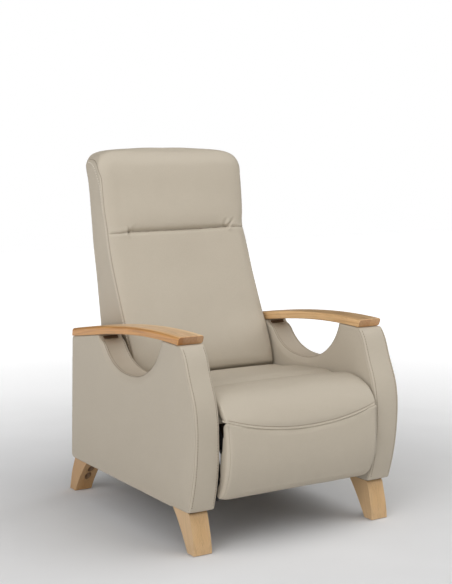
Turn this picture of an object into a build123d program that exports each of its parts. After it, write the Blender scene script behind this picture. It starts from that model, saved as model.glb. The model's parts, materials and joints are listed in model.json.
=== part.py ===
from build123d import *
import os
from math import sin, cos, radians

os.makedirs("parts", exist_ok=True)

# ---------------------------------------------------------------- driving dimensions, mm
# The sitter looks along -Y, so the sitter's left is +X. The floor is z = 0.
ARM_IN = 281.4          # inner face of an arm, from the middle plane
ARM_T = 88.6            # thickness of an upholstered arm
CORE_IN = 19.3          # from the arm's inner face to its timber core
CORE_T = 50.0
CAP_X0, CAP_W = 283.5, 85.5
LEG_X0, LEG_W = 295.3, 60.5
ARM_BOTTOM = 122.0
FOOT_Z = 2.0            # feet stop here, the glides stand 2 mm proud
SEAT_X = 272.0          # half width of seat, back and footrest covers
FRAME_X0, FRAME_X1 = 205.0, 232.0   # seat side rail
SEAT_RAIL_Z0, SEAT_RAIL_Z1 = 305.0, 372.0
SPRING_T = 3.8
PLATE_X0, PLATE_T = 258.0, 4.0      # carriage side plate
LINK_T, LINK_R = 4.0, 8.0           # link strip thickness, end radius
PLANE1, PLANE2, PLANE3 = 253.5, 249.0, 244.5   # inner faces of the three link layers
PIN_R, FIT = 4.0, 0.05              # pin radius, radial play in a turning hole

# footrest scissor: a is the fixed pivot, the other pivots follow from these
A_Y, A_Z = -338.0, 330.0
L1, L2, L3 = 88.0, 112.0, 64.0
TAU, PHI0, SWING = 8.0, 8.0, 77.5
BACK_Y, BACK_Z = 145.0, 335.0       # back hinge
SLIDE = 60.0                        # forward travel of the seat

t, p0 = radians(TAU), radians(PHI0)
SY, SZ = -sin(t), -cos(t)
NY, NZ = -cos(t), sin(t)
FY, FZ = cos(p0) * SY + sin(p0) * NY, cos(p0) * SZ + sin(p0) * NZ
GY, GZ = -cos(p0) * SY + sin(p0) * NY, -cos(p0) * SZ + sin(p0) * NZ
A = (A_Y, A_Z)
X = (A_Y + L1 * FY, A_Z + L1 * FZ)
C = (X[0] + L3 * FY, X[1] + L3 * FZ)
D = (A_Y + 2 * L1 * cos(p0) * SY, A_Z + 2 * L1 * cos(p0) * SZ)
E = (X[0] + L2 * GY, X[1] + L2 * GZ)
F = (E[0] + L3 * FY, E[1] + L3 * FZ)
p1 = radians(PHI0 + SWING)
D_OPEN = (A_Y + 2 * L1 * cos(p1) * SY, A_Z + 2 * L1 * cos(p1) * SZ)

# side outlines as (y, z)
ARM_FRONT = [(-343, 607.7), (-357, 593), (-388, 525), (-421, 450), (-433, 375), (-430, 298), (-410, 189), (-392, 132)]
CAP_UNDER = [(380, 541.2), (174, 573), (-4, 597), (-206, 610), (-343, 608)]
CAP_TOP = [(375, 568.2), (166, 602.4), (9, 621.4), (-175, 633.9), (-346, 633.4)]
ARM_TOP = [(y, z - 0.3) for y, z in CAP_UNDER]     # the cover ends just under the cap
U_CUT = [(166, 575), (144, 545), (102, 505), (46, 481), (-16, 473), (-63, 475), (-116, 489), (-156, 510), (-194, 544), (-220, 587), (-229, 613)]
CORE = [(-372, 122), (-396, 190), (-417, 298), (-420, 375), (-408, 450), (-376, 527), (-345, 588), (-336, 603),
        (-241, 605), (-232, 587), (-203, 536), (-162, 499.6), (-120, 477.6), (-65, 463), (-15, 461), (49, 469.4),
        (108, 494.6), (153, 537), (178, 567), (366, 538), (386, 122)]
CORE_LEG_Y = (-338.0, -312.0, 335.5, 361.0)     # leg bolts along the arm
LEG_BOLT_SEAT = 104.0
DOWELS = [(-285, 609.8), (230, 564.8), (335, 548.6)]


def rear(z):
    """y of the rear face of the back at height z"""
    return 362.0 + (z - 573.0) * 92.0 / 539.0


# ---------------------------------------------------------------- arms
with BuildPart() as arm_core_left:
    with BuildSketch(Plane.YZ.offset(ARM_IN + CORE_IN)):
        with BuildLine():
            Polyline(*CORE, close=True)
        make_face()
    extrude(amount=CORE_T)
    # bolt holes for the legs, from below
    with BuildSketch(Plane.XY.offset(ARM_BOTTOM)):
        with Locations(*[(LEG_X0 + LEG_W / 2, y) for y in CORE_LEG_Y]):
            Circle(PIN_R)
    extrude(amount=60, mode=Mode.SUBTRACT)
    # dowel holes under the cap
    for y, z in DOWELS:
        with BuildSketch(Plane.XY.offset(z - 30)):
            with Locations((CAP_X0 + CAP_W / 2, y)):
                Circle(5)
        extrude(amount=60, mode=Mode.SUBTRACT)
    # holes for the cross rail bolts and the screws of the slide channels
    with BuildSketch(Plane.YZ.offset(ARM_IN)):
        with Locations((-276, 170), (-276, 196), (344, 170), (344, 196)):
            Circle(PIN_R)
        with Locations((-260, 252.5), (-60, 252.5), (160, 252.5)):
            Circle(2.5)
    extrude(amount=34, mode=Mode.SUBTRACT)
arm_core_left.part.label = "arm_core_left"
export_step(arm_core_left.part, "parts/arm_core_left.step")

with BuildPart() as arm_core_right:
    mirror(arm_core_left.part, about=Plane.YZ)
arm_core_right.part.label = "arm_core_right"
export_step(arm_core_right.part, "parts/arm_core_right.step")

with BuildPart() as arm_upholstery_left:
    with BuildSketch(Plane.YZ.offset(ARM_IN)):
        with BuildLine():
            Spline(*ARM_FRONT)
            Polyline(ARM_FRONT[-1], (-380, ARM_BOTTOM), (389, ARM_BOTTOM), (398.5, 132), ARM_TOP[0])
            Spline(*ARM_TOP)
        make_face()
        with BuildLine():
            Spline(*U_CUT)
            Polyline(U_CUT[-1], (-229, 640), (166, 640), U_CUT[0])
        make_face(mode=Mode.SUBTRACT)
    extrude(amount=ARM_T)
    # the sleeve around the timber core, open at the bottom
    with BuildSketch(Plane.YZ.offset(ARM_IN + CORE_IN)):
        with BuildLine():
            Polyline(*CORE, close=True)
        make_face()
    extrude(amount=CORE_T, mode=Mode.SUBTRACT)
    for y, z in DOWELS:
        with BuildSketch(Plane.XY.offset(z - 30)):
            with Locations((CAP_X0 + CAP_W / 2, y)):
                Circle(5)
        extrude(amount=60, mode=Mode.SUBTRACT)
    with BuildSketch(Plane.YZ.offset(ARM_IN)):
        with Locations((-276, 170), (-276, 196), (344, 170), (344, 196)):
            Circle(PIN_R)
        with Locations((-260, 252.5), (-60, 252.5), (160, 252.5)):
            Circle(2.5)
    extrude(amount=CORE_IN, mode=Mode.SUBTRACT)
arm_upholstery_left.part.label = "arm_upholstery_left"
export_step(arm_upholstery_left.part, "parts/arm_upholstery_left.step")

with BuildPart() as arm_upholstery_right:
    mirror(arm_upholstery_left.part, about=Plane.YZ)
arm_upholstery_right.part.label = "arm_upholstery_right"
export_step(arm_upholstery_right.part, "parts/arm_upholstery_right.step")

# laminated arched cap, cut square at both ends
with BuildPart() as arm_cap_left:
    with BuildSketch(Plane.YZ.offset(CAP_X0)):
        with BuildLine():
            Spline(*CAP_UNDER)
            Line(CAP_UNDER[-1], CAP_TOP[-1])
            Spline(*CAP_TOP)
            Line(CAP_TOP[0], CAP_UNDER[0])
        make_face()
    extrude(amount=CAP_W)
    for y, z in DOWELS:
        with BuildSketch(Plane.XY.offset(z - 30)):
            with Locations((CAP_X0 + CAP_W / 2, y)):
                Circle(5)
        extrude(amount=43, mode=Mode.SUBTRACT)
    # the front end leans out over the arm
    with BuildSketch(Plane.YZ.offset(CAP_X0 - 5)):
        with BuildLine():
            Polyline((-327.8, 600), (-343.4, 640), (-370, 640), (-370, 600), (-327.8, 600))
        make_face()
    extrude(amount=CAP_W + 10, mode=Mode.SUBTRACT)
    cap_edges = arm_cap_left.edges().filter_by(lambda e: e.length > 500).sort_by(lambda e: (e @ 0.5).Z)
    fillet(cap_edges[2:], radius=8)
    cap_edges = arm_cap_left.edges().filter_by(lambda e: e.length > 500).sort_by(lambda e: (e @ 0.5).Z)[:2].sort_by(lambda e: (e @ 0.5).X)
    fillet(cap_edges[1], radius=8)
    cap_edges = arm_cap_left.edges().filter_by(lambda e: e.length > 500).sort_by(lambda e: (e @ 0.5).Z)[:3].sort_by(lambda e: (e @ 0.5).X)
    fillet(cap_edges[0], radius=3.5)
    for face in (arm_cap_left.faces().sort_by(Axis.Y)[0], arm_cap_left.faces().sort_by(Axis.Y)[-1]):
        fillet(face.edges(), radius=2.5)
arm_cap_left.part.label = "arm_cap_left"
export_step(arm_cap_left.part, "parts/arm_cap_left.step")

# the same part on both arms, not a mirrored one
with BuildPart() as arm_cap_right:
    add(arm_cap_left.part.moved(Location((-2 * CAP_X0 - CAP_W, 0, 0))))
arm_cap_right.part.label = "arm_cap_right"
export_step(arm_cap_right.part, "parts/arm_cap_right.step")

with BuildPart() as cap_dowels:
    for s in (1, -1):
        for y, z in DOWELS:
            with BuildSketch(Plane.XY.offset(z - 30)):
                with Locations((s * (CAP_X0 + CAP_W / 2), y)):
                    Circle(5)
            extrude(amount=43)
cap_dowels.part.label = "cap_dowels"
export_step(cap_dowels.part, "parts/cap_dowels.step")

# ---------------------------------------------------------------- legs, their bolts and glides
with BuildPart() as leg_front_left:
    with BuildSketch(Plane.YZ.offset(LEG_X0)):
        with BuildLine():
            Spline((-400, FOOT_Z), (-395, 42), (-384.5, 83), (-374, ARM_BOTTOM))
            Line((-374, ARM_BOTTOM), (-276, ARM_BOTTOM))
            Spline((-276, ARM_BOTTOM), (-312, 80), (-338, 42), (-363, FOOT_Z))
            Line((-363, FOOT_Z), (-400, FOOT_Z))
        make_face()
    extrude(amount=LEG_W)
    with BuildSketch(Plane.XY.offset(LEG_BOLT_SEAT)):
        with Locations(*[(LEG_X0 + LEG_W / 2, y) for y in CORE_LEG_Y[:2]]):
            Circle(11)
    extrude(amount=-102, mode=Mode.SUBTRACT)
    with BuildSketch(Plane.XY.offset(LEG_BOLT_SEAT)):
        with Locations(*[(LEG_X0 + LEG_W / 2, y) for y in CORE_LEG_Y[:2]]):
            Circle(PIN_R)
    extrude(amount=40, mode=Mode.SUBTRACT)
    with BuildSketch(Plane.XY.offset(FOOT_Z)):
        with Locations((LEG_X0 + LEG_W / 2 - 17, -381.5), (LEG_X0 + LEG_W / 2 + 17, -381.5)):
            Circle(10)
    extrude(amount=3, mode=Mode.SUBTRACT)
    fillet(leg_front_left.edges().filter_by(Axis.X).filter_by(lambda e: e.center().Y < -370 and e.center().Z > 100), radius=11)
leg_front_left.part.label = "leg_front_left"
export_step(leg_front_left.part, "parts/leg_front_left.step")

with BuildPart() as leg_front_right:
    mirror(leg_front_left.part, about=Plane.YZ)
leg_front_right.part.label = "leg_front_right"
export_step(leg_front_right.part, "parts/leg_front_right.step")

with BuildPart() as leg_rear_left:
    with BuildSketch(Plane.YZ.offset(LEG_X0)):
        with BuildLine():
            Spline((441, FOOT_Z), (433, 30), (424, 62), (404, 104), (396, ARM_BOTTOM))
            Line((396, ARM_BOTTOM), (303, ARM_BOTTOM))
            Spline((303, ARM_BOTTOM), (330, 95), (360, 60), (385, 25), (399, FOOT_Z))
            Line((399, FOOT_Z), (441, FOOT_Z))
        make_face()
    extrude(amount=LEG_W)
    with BuildSketch(Plane.XY.offset(LEG_BOLT_SEAT)):
        with Locations(*[(LEG_X0 + LEG_W / 2, y) for y in CORE_LEG_Y[2:]]):
            Circle(11)
    extrude(amount=-102, mode=Mode.SUBTRACT)
    with BuildSketch(Plane.XY.offset(LEG_BOLT_SEAT)):
        with Locations(*[(LEG_X0 + LEG_W / 2, y) for y in CORE_LEG_Y[2:]]):
            Circle(PIN_R)
    extrude(amount=40, mode=Mode.SUBTRACT)
    with BuildSketch(Plane.XY.offset(FOOT_Z)):
        with Locations((LEG_X0 + LEG_W / 2 - 17, 420), (LEG_X0 + LEG_W / 2 + 17, 420)):
            Circle(10)
    extrude(amount=3, mode=Mode.SUBTRACT)
leg_rear_left.part.label = "leg_rear_left"
export_step(leg_rear_left.part, "parts/leg_rear_left.step")

with BuildPart() as leg_rear_right:
    mirror(leg_rear_left.part, about=Plane.YZ)
leg_rear_right.part.label = "leg_rear_right"
export_step(leg_rear_right.part, "parts/leg_rear_right.step")

with BuildPart() as leg_bolts:
    with BuildSketch(Plane.XY.offset(LEG_BOLT_SEAT)):
        with Locations(*[(s * (LEG_X0 + LEG_W / 2), y) for s in (1, -1) for y in CORE_LEG_Y]):
            Circle(PIN_R)
    extrude(amount=ARM_BOTTOM + 58 - LEG_BOLT_SEAT)
    with BuildSketch(Plane.XY.offset(LEG_BOLT_SEAT)):
        with Locations(*[(s * (LEG_X0 + LEG_W / 2), y) for s in (1, -1) for y in CORE_LEG_Y]):
            RegularPolygon(6.4, 6)
    extrude(amount=-5.5)
leg_bolts.part.label = "leg_bolts"
export_step(leg_bolts.part, "parts/leg_bolts.step")

with BuildPart() as leg_glides:
    with BuildSketch(Plane.XY):
        with Locations(*[(s * (LEG_X0 + LEG_W / 2 + d), y) for s in (1, -1) for y in (-381.5, 420) for d in (-17, 17)]):
            Circle(10)
    extrude(amount=FOOT_Z + 3)
leg_glides.part.label = "leg_glides"
export_step(leg_glides.part, "parts/leg_glides.step")

# ---------------------------------------------------------------- cross rails between the arms
with BuildPart() as front_cross_rail:
    with BuildSketch(Plane.YZ.offset(-ARM_IN)):
        with Locations((-276, 183)):
            RectangleRounded(28, 66, 3)
    extrude(amount=2 * ARM_IN)
    with BuildSketch(Plane.YZ.offset(ARM_IN)):
        with Locations((-276, 170), (-276, 196)):
            Circle(PIN_R)
    extrude(amount=-36, mode=Mode.SUBTRACT)
    with BuildSketch(Plane.YZ.offset(-ARM_IN)):
        with Locations((-276, 170), (-276, 196)):
            Circle(PIN_R)
    extrude(amount=36, mode=Mode.SUBTRACT)
front_cross_rail.part.label = "front_cross_rail"
export_step(front_cross_rail.part, "parts/front_cross_rail.step")

with BuildPart() as rear_cross_rail:
    with BuildSketch(Plane.YZ.offset(-ARM_IN)):
        with Locations((344, 183)):
            RectangleRounded(28, 66, 3)
    extrude(amount=2 * ARM_IN)
    with BuildSketch(Plane.YZ.offset(ARM_IN)):
        with Locations((344, 170), (344, 196)):
            Circle(PIN_R)
    extrude(amount=-36, mode=Mode.SUBTRACT)
    with BuildSketch(Plane.YZ.offset(-ARM_IN)):
        with Locations((344, 170), (344, 196)):
            Circle(PIN_R)
    extrude(amount=36, mode=Mode.SUBTRACT)
rear_cross_rail.part.label = "rear_cross_rail"
export_step(rear_cross_rail.part, "parts/rear_cross_rail.step")

with BuildPart() as rail_dowels:
    for x0, a in ((ARM_IN - 35, 68), (-ARM_IN + 35, -68)):
        with BuildSketch(Plane.YZ.offset(x0)):
            with Locations((-276, 170), (-276, 196), (344, 170), (344, 196)):
                Circle(PIN_R)
        extrude(amount=a)
rail_dowels.part.label = "rail_dowels"
export_step(rail_dowels.part, "parts/rail_dowels.step")

# ---------------------------------------------------------------- slide channels on the arms
with BuildPart() as slide_channel_left:
    with BuildSketch(Plane.XZ.offset(290)):
        with BuildLine():
            Polyline((266, 240), (ARM_IN, 240), (ARM_IN, 265), (266, 265), (266, 262), (278.4, 262), (278.4, 243), (266, 243), close=True)
        make_face()
    extrude(amount=-480)
    with BuildSketch(Plane.YZ.offset(278)):
        with Locations((-260, 252.5), (-60, 252.5), (160, 252.5)):
            Circle(2.5)
    extrude(amount=4, mode=Mode.SUBTRACT)
slide_channel_left.part.label = "slide_channel_left"
export_step(slide_channel_left.part, "parts/slide_channel_left.step")

with BuildPart() as slide_channel_right:
    mirror(slide_channel_left.part, about=Plane.YZ)
slide_channel_right.part.label = "slide_channel_right"
export_step(slide_channel_right.part, "parts/slide_channel_right.step")

with BuildPart() as channel_screws:
    for s in (1, -1):
        with BuildSketch(Plane.YZ.offset(s * 278.4)):
            with Locations((-260, 252.5), (-60, 252.5), (160, 252.5)):
                Circle(2.5)
        extrude(amount=s * 36)
        with BuildSketch(Plane.YZ.offset(s * 278.4)):
            with Locations((-260, 252.5), (-60, 252.5), (160, 252.5)):
                Circle(5)
        extrude(amount=-s * 1.6)
channel_screws.part.label = "channel_screws"
export_step(channel_screws.part, "parts/channel_screws.step")

# ---------------------------------------------------------------- seat carriage
with BuildPart() as carriage_plate_left:
    with BuildSketch(Plane.YZ.offset(PLATE_X0)):
        with BuildLine():
            Polyline((-330, 300), (-230, 300), (-230, 244), (-170, 244), (-170, 300), (110, 300), (110, 244),
                     (170, 244), (170, 345), (155, 352), (135, 352), (120, 345), (-330, 345), close=True)
        make_face()
        # arm that carries the straight slot of the scissor
        with BuildLine():
            Polyline((A_Y - 13 * NY, A_Z + 12), (A_Y + 13 * NY, A_Z + 12), (D[0] + 13 * NY + 13 * SY, D[1] + 13 * NZ + 13 * SZ),
                     (D[0] - 13 * NY + 13 * SY, D[1] - 13 * NZ + 13 * SZ), close=True)
        make_face()
        with Locations((A_Y, A_Z)):
            Circle(PIN_R, mode=Mode.SUBTRACT)
        with Locations((BACK_Y, BACK_Z), (-200, 322), (105, 322)):
            Circle(PIN_R, mode=Mode.SUBTRACT)
        with Locations(((D[0] + D_OPEN[0]) / 2, (D[1] + D_OPEN[1]) / 2)):
            SlotCenterToCenter(((D[0] - D_OPEN[0]) ** 2 + (D[1] - D_OPEN[1]) ** 2) ** 0.5 + 1.0, 2 * PIN_R + 0.16, rotation=90 - TAU, mode=Mode.SUBTRACT)
    extrude(amount=PLATE_T)
carriage_plate_left.part.label = "carriage_plate_left"
export_step(carriage_plate_left.part, "parts/carriage_plate_left.step")

with BuildPart() as carriage_plate_right:
    mirror(carriage_plate_left.part, about=Plane.YZ)
carriage_plate_right.part.label = "carriage_plate_right"
export_step(carriage_plate_right.part, "parts/carriage_plate_right.step")

# nylon shoes that run inside the channels
with BuildPart() as slide_shoes:
    for s in (1, -1):
        with BuildSketch(Plane.YZ.offset(s * (PLATE_X0 + PLATE_T))):
            with Locations((-200, 252.5), (140, 252.5)):
                RectangleRounded(44, 17.8, 3)
        extrude(amount=s * 13.8)
slide_shoes.part.label = "slide_shoes"
export_step(slide_shoes.part, "parts/slide_shoes.step")

with BuildPart() as carriage_spacers:
    for s in (1, -1):
        with BuildSketch(Plane.YZ.offset(s * FRAME_X1)):
            with Locations((-200, 322), (105, 322)):
                Circle(9)
                Circle(PIN_R, mode=Mode.SUBTRACT)
        extrude(amount=s * (PLATE_X0 - FRAME_X1))
carriage_spacers.part.label = "carriage_spacers"
export_step(carriage_spacers.part, "parts/carriage_spacers.step")

with BuildPart() as carriage_bolts:
    for s in (1, -1):
        with BuildSketch(Plane.YZ.offset(s * FRAME_X0)):
            with Locations((-200, 322), (105, 322)):
                Circle(PIN_R)
        extrude(amount=s * (PLATE_X0 + PLATE_T - FRAME_X0))
        with BuildSketch(Plane.YZ.offset(s * (PLATE_X0 + PLATE_T))):
            with Locations((-200, 322), (105, 322)):
                Circle(7)
        extrude(amount=s * 3)
carriage_bolts.part.label = "carriage_bolts"
export_step(carriage_bolts.part, "parts/carriage_bolts.step")

with BuildPart() as seat_rail_left:
    with BuildSketch(Plane.YZ.offset(FRAME_X0)):
        with Locations(((-360 + 115) / 2, (SEAT_RAIL_Z0 + SEAT_RAIL_Z1) / 2)):
            Rectangle(475, SEAT_RAIL_Z1 - SEAT_RAIL_Z0)
        with Locations((A_Y, A_Z)):
            Circle(11, mode=Mode.SUBTRACT)
        with Locations((-200, 322), (105, 322)):
            Circle(PIN_R, mode=Mode.SUBTRACT)
    extrude(amount=FRAME_X1 - FRAME_X0)
seat_rail_left.part.label = "seat_rail_left"
export_step(seat_rail_left.part, "parts/seat_rail_left.step")

with BuildPart() as seat_rail_right:
    mirror(seat_rail_left.part, about=Plane.YZ)
seat_rail_right.part.label = "seat_rail_right"
export_step(seat_rail_right.part, "parts/seat_rail_right.step")

with BuildPart() as seat_rail_front:
    with BuildSketch(Plane.YZ.offset(-FRAME_X1)):
        with Locations((-372.5, (SEAT_RAIL_Z0 + SEAT_RAIL_Z1) / 2)):
            Rectangle(25, SEAT_RAIL_Z1 - SEAT_RAIL_Z0)
    extrude(amount=2 * FRAME_X1)
seat_rail_front.part.label = "seat_rail_front"
export_step(seat_rail_front.part, "parts/seat_rail_front.step")

with BuildPart() as seat_rail_rear:
    with BuildSketch(Plane.YZ.offset(-FRAME_X1)):
        with Locations((127, (SEAT_RAIL_Z0 + SEAT_RAIL_Z1) / 2)):
            Rectangle(24, SEAT_RAIL_Z1 - SEAT_RAIL_Z0)
    extrude(amount=2 * FRAME_X1)
seat_rail_rear.part.label = "seat_rail_rear"
export_step(seat_rail_rear.part, "parts/seat_rail_rear.step")

# five zigzag wires laid over the rails
with BuildPart() as seat_springs:
    with BuildSketch(Plane.XY.offset(SEAT_RAIL_Z1)):
        for xc in (-150, -75, 0, 75, 150):
            with BuildLine():
                pts = [(xc, -380), (xc, -352)]
                for i in range(22):
                    pts += [(xc + (19 if i % 2 == 0 else -19), -345 + 20 * i), (xc + (19 if i % 2 == 0 else -19), -333 + 20 * i)]
                pts += [(xc, 106), (xc, 134)]
                Polyline(*pts)
            trace(line_width=SPRING_T)
    extrude(amount=SPRING_T)
seat_springs.part.label = "seat_springs"
export_step(seat_springs.part, "parts/seat_springs.step")

CUSHION_Z0 = SEAT_RAIL_Z1 + SPRING_T + 0.4
with BuildPart() as seat_cushion:
    with BuildSketch(Plane.YZ.offset(-SEAT_X)):
        with BuildLine():
            Spline((-249, 456), (-200, 462), (-100, 455), (0, 440), (80, 428), (108, 418))
            Polyline((108, 418), (112, 410), (112, CUSHION_Z0), (-249, CUSHION_Z0), (-249, 456))
        make_face()
    extrude(amount=2 * SEAT_X)
seat_cushion.part.label = "seat_cushion"
export_step(seat_cushion.part, "parts/seat_cushion.step")

# front roll of the seat, hanging lower in the middle down to a curved seam
SMILE_LOW, SMILE_R, SMILE_Y = 348.5, 923.0, -446.0
with BuildPart() as seat_bolster:
    with BuildSketch(Plane.YZ.offset(-SEAT_X)):
        with BuildLine():
            Spline((-250, 456), (-309, 466), (-370, 458), (-401, 438), (-431, 409), (-443, 384), (-450, 350), (-449, 320), (-444, 280))
            Polyline((-444, 280), (-392, 280), (-388, CUSHION_Z0), (-250, CUSHION_Z0), (-250, 456))
        make_face()
    extrude(amount=2 * SEAT_X)
    # everything below the sloping seam surface goes, 2 mm above the footrest pad
    with BuildSketch(Plane.XZ.offset(-SMILE_Y)):
        with BuildLine():
            ThreePointArc((-300, SMILE_LOW + 52.1), (0, SMILE_LOW + 2), (300, SMILE_LOW + 52.1))
            Polyline((300, SMILE_LOW + 52.1), (300, 150), (-300, 150), (-300, SMILE_LOW + 52.1))
        make_face()
    extrude(amount=75, both=True, dir=(0, -0.8, 0.6), mode=Mode.SUBTRACT)
    # room for the links at both sides
    with BuildSketch(Plane.XY.offset(200)):
        with Locations((256, -352), (-256, -352)):
            Rectangle(40, 206)
    extrude(amount=378 - 200, mode=Mode.SUBTRACT)
seat_bolster.part.label = "seat_bolster"
export_step(seat_bolster.part, "parts/seat_bolster.step")

# ---------------------------------------------------------------- footrest scissor
with BuildPart() as drive_pins:
    for s in (1, -1):
        with BuildSketch(Plane.YZ.offset(s * (PLANE2 + 0.3))):
            with Locations(A):
                Circle(PIN_R)
        extrude(amount=s * (PLATE_X0 + PLATE_T - PLANE2 - 0.3))
        with BuildSketch(Plane.YZ.offset(s * (PLATE_X0 + PLATE_T))):
            with Locations(A):
                Circle(7)
        extrude(amount=s * 2.5)
drive_pins.part.label = "drive_pins"
export_step(drive_pins.part, "parts/drive_pins.step")


with BuildPart() as drive_link_left:
    with BuildSketch(Plane.YZ.offset(PLANE2)):
        with BuildLine():
            Polyline((A_Y - LINK_R * FZ, A_Z + LINK_R * FY), (C[0] - LINK_R * FZ, C[1] + LINK_R * FY),
                     (C[0] + LINK_R * FZ, C[1] - LINK_R * FY), (A_Y + LINK_R * FZ, A_Z - LINK_R * FY), close=True)
        make_face()
        with Locations(A, C):
            Circle(LINK_R)
        with Locations(A):
            Circle(PIN_R + FIT, mode=Mode.SUBTRACT)
        with Locations(X, C):
            Circle(PIN_R, mode=Mode.SUBTRACT)
    extrude(amount=LINK_T)
drive_link_left.part.label = "drive_link_left"
export_step(drive_link_left.part, "parts/drive_link_left.step")

with BuildPart() as drive_link_right:
    mirror(drive_link_left.part, about=Plane.YZ)
drive_link_right.part.label = "drive_link_right"
export_step(drive_link_right.part, "parts/drive_link_right.step")

with BuildPart() as torque_tube:
    with BuildSketch(Plane.YZ.offset(-PLANE2)):
        with Locations(A):
            Circle(8)
            Circle(6, mode=Mode.SUBTRACT)
    extrude(amount=2 * PLANE2)
torque_tube.part.label = "torque_tube"
export_step(torque_tube.part, "parts/torque_tube.step")

# pins held in the drive links
with BuildPart() as middle_pins:
    for s in (1, -1):
        with BuildSketch(Plane.YZ.offset(s * PLANE2)):
            with Locations(X):
                Circle(PIN_R)
        extrude(amount=s * (PLANE1 + LINK_T - PLANE2))
        with BuildSketch(Plane.YZ.offset(s * (PLANE2 + LINK_T))):
            with Locations(C):
                Circle(PIN_R)
        extrude(amount=-s * (LINK_T * 2 + 0.5 + 2.2))
        with BuildSketch(Plane.YZ.offset(s * (PLANE3 - 0.3))):
            with Locations(C):
                Circle(6.5)
        extrude(amount=-s * 1.9)
middle_pins.part.label = "middle_pins"
export_step(middle_pins.part, "parts/middle_pins.step")

with BuildPart() as cross_link_left:
    with BuildSketch(Plane.YZ.offset(PLANE1)):
        with BuildLine():
            Polyline((D[0] - LINK_R * GZ, D[1] + LINK_R * GY), (E[0] - LINK_R * GZ, E[1] + LINK_R * GY),
                     (E[0] + LINK_R * GZ, E[1] - LINK_R * GY), (D[0] + LINK_R * GZ, D[1] - LINK_R * GY), close=True)
        make_face()
        with Locations(D, E):
            Circle(LINK_R)
        with Locations(X):
            Circle(PIN_R + FIT, mode=Mode.SUBTRACT)
        with Locations(D, E):
            Circle(PIN_R, mode=Mode.SUBTRACT)
    extrude(amount=LINK_T)
cross_link_left.part.label = "cross_link_left"
export_step(cross_link_left.part, "parts/cross_link_left.step")

with BuildPart() as cross_link_right:
    mirror(cross_link_left.part, about=Plane.YZ)
cross_link_right.part.label = "cross_link_right"
export_step(cross_link_right.part, "parts/cross_link_right.step")

# pins held in the cross links: the slot pins and the bracket pins
with BuildPart() as cross_pins:
    for s in (1, -1):
        with BuildSketch(Plane.YZ.offset(s * PLANE1)):
            with Locations(D):
                Circle(PIN_R)
        extrude(amount=s * (PLATE_X0 + PLATE_T + 2.5 - PLANE1))
        with BuildSketch(Plane.YZ.offset(s * (PLATE_X0 + PLATE_T + 0.5))):
            with Locations(D):
                Circle(6.5)
        extrude(amount=s * 2.0)
        with BuildSketch(Plane.YZ.offset(s * (PLANE1 + LINK_T))):
            with Locations(E):
                Circle(PIN_R)
        extrude(amount=-s * (PLANE1 + LINK_T - PLANE2))
        with BuildSketch(Plane.YZ.offset(s * (PLANE1 + LINK_T))):
            with Locations(E):
                Circle(6.5)
        extrude(amount=s * 2.0)
cross_pins.part.label = "cross_pins"
export_step(cross_pins.part, "parts/cross_pins.step")

with BuildPart() as follower_link_left:
    with BuildSketch(Plane.YZ.offset(PLANE3)):
        with BuildLine():
            Polyline((C[0] - LINK_R * GZ, C[1] + LINK_R * GY), (F[0] - LINK_R * GZ, F[1] + LINK_R * GY),
                     (F[0] + LINK_R * GZ, F[1] - LINK_R * GY), (C[0] + LINK_R * GZ, C[1] - LINK_R * GY), close=True)
        make_face()
        with Locations(C, F):
            Circle(LINK_R)
        with Locations(C, F):
            Circle(PIN_R + FIT, mode=Mode.SUBTRACT)
    extrude(amount=LINK_T)
follower_link_left.part.label = "follower_link_left"
export_step(follower_link_left.part, "parts/follower_link_left.step")

with BuildPart() as follower_link_right:
    mirror(follower_link_left.part, about=Plane.YZ)
follower_link_right.part.label = "follower_link_right"
export_step(follower_link_right.part, "parts/follower_link_right.step")

# ---------------------------------------------------------------- footrest
BOARD_Y0, BOARD_Y1 = -394.0, -406.0
with BuildPart() as footrest_bracket_left:
    with BuildSketch(Plane.YZ.offset(PLANE2)):
        with BuildLine():
            Polyline((E[0] + 8, E[1]), (E[0], E[1] + 8), (E[0] - 8, E[1]), (BOARD_Y0, 325), (BOARD_Y0, 262), (F[0], 284), (F[0] + 8, F[1]), close=True)
        make_face()
        with Locations(E, F):
            Circle(LINK_R)
        with Locations(E):
            Circle(PIN_R + FIT, mode=Mode.SUBTRACT)
        with Locations(F):
            Circle(PIN_R, mode=Mode.SUBTRACT)
    extrude(amount=LINK_T)
    # bent flange against the board
    with BuildSketch(Plane.XZ.offset(-BOARD_Y0)):
        with Locations((PLANE2 - 11.5, 293.5)):
            Rectangle(23, 63)
        with Locations((PLANE2 - 12, 275), (PLANE2 - 12, 312)):
            Circle(2.5, mode=Mode.SUBTRACT)
    extrude(amount=-3)
footrest_bracket_left.part.label = "footrest_bracket_left"
export_step(footrest_bracket_left.part, "parts/footrest_bracket_left.step")

with BuildPart() as footrest_bracket_right:
    mirror(footrest_bracket_left.part, about=Plane.YZ)
footrest_bracket_right.part.label = "footrest_bracket_right"
export_step(footrest_bracket_right.part, "parts/footrest_bracket_right.step")

with BuildPart() as bracket_pins:
    for s in (1, -1):
        with BuildSketch(Plane.YZ.offset(s * (PLANE2 + LINK_T))):
            with Locations(F):
                Circle(PIN_R)
        extrude(amount=-s * (LINK_T * 2 + 0.5 + 2.2))
        with BuildSketch(Plane.YZ.offset(s * (PLANE3 - 0.3))):
            with Locations(F):
                Circle(6.5)
        extrude(amount=-s * 1.9)
bracket_pins.part.label = "bracket_pins"
export_step(bracket_pins.part, "parts/bracket_pins.step")

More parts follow.
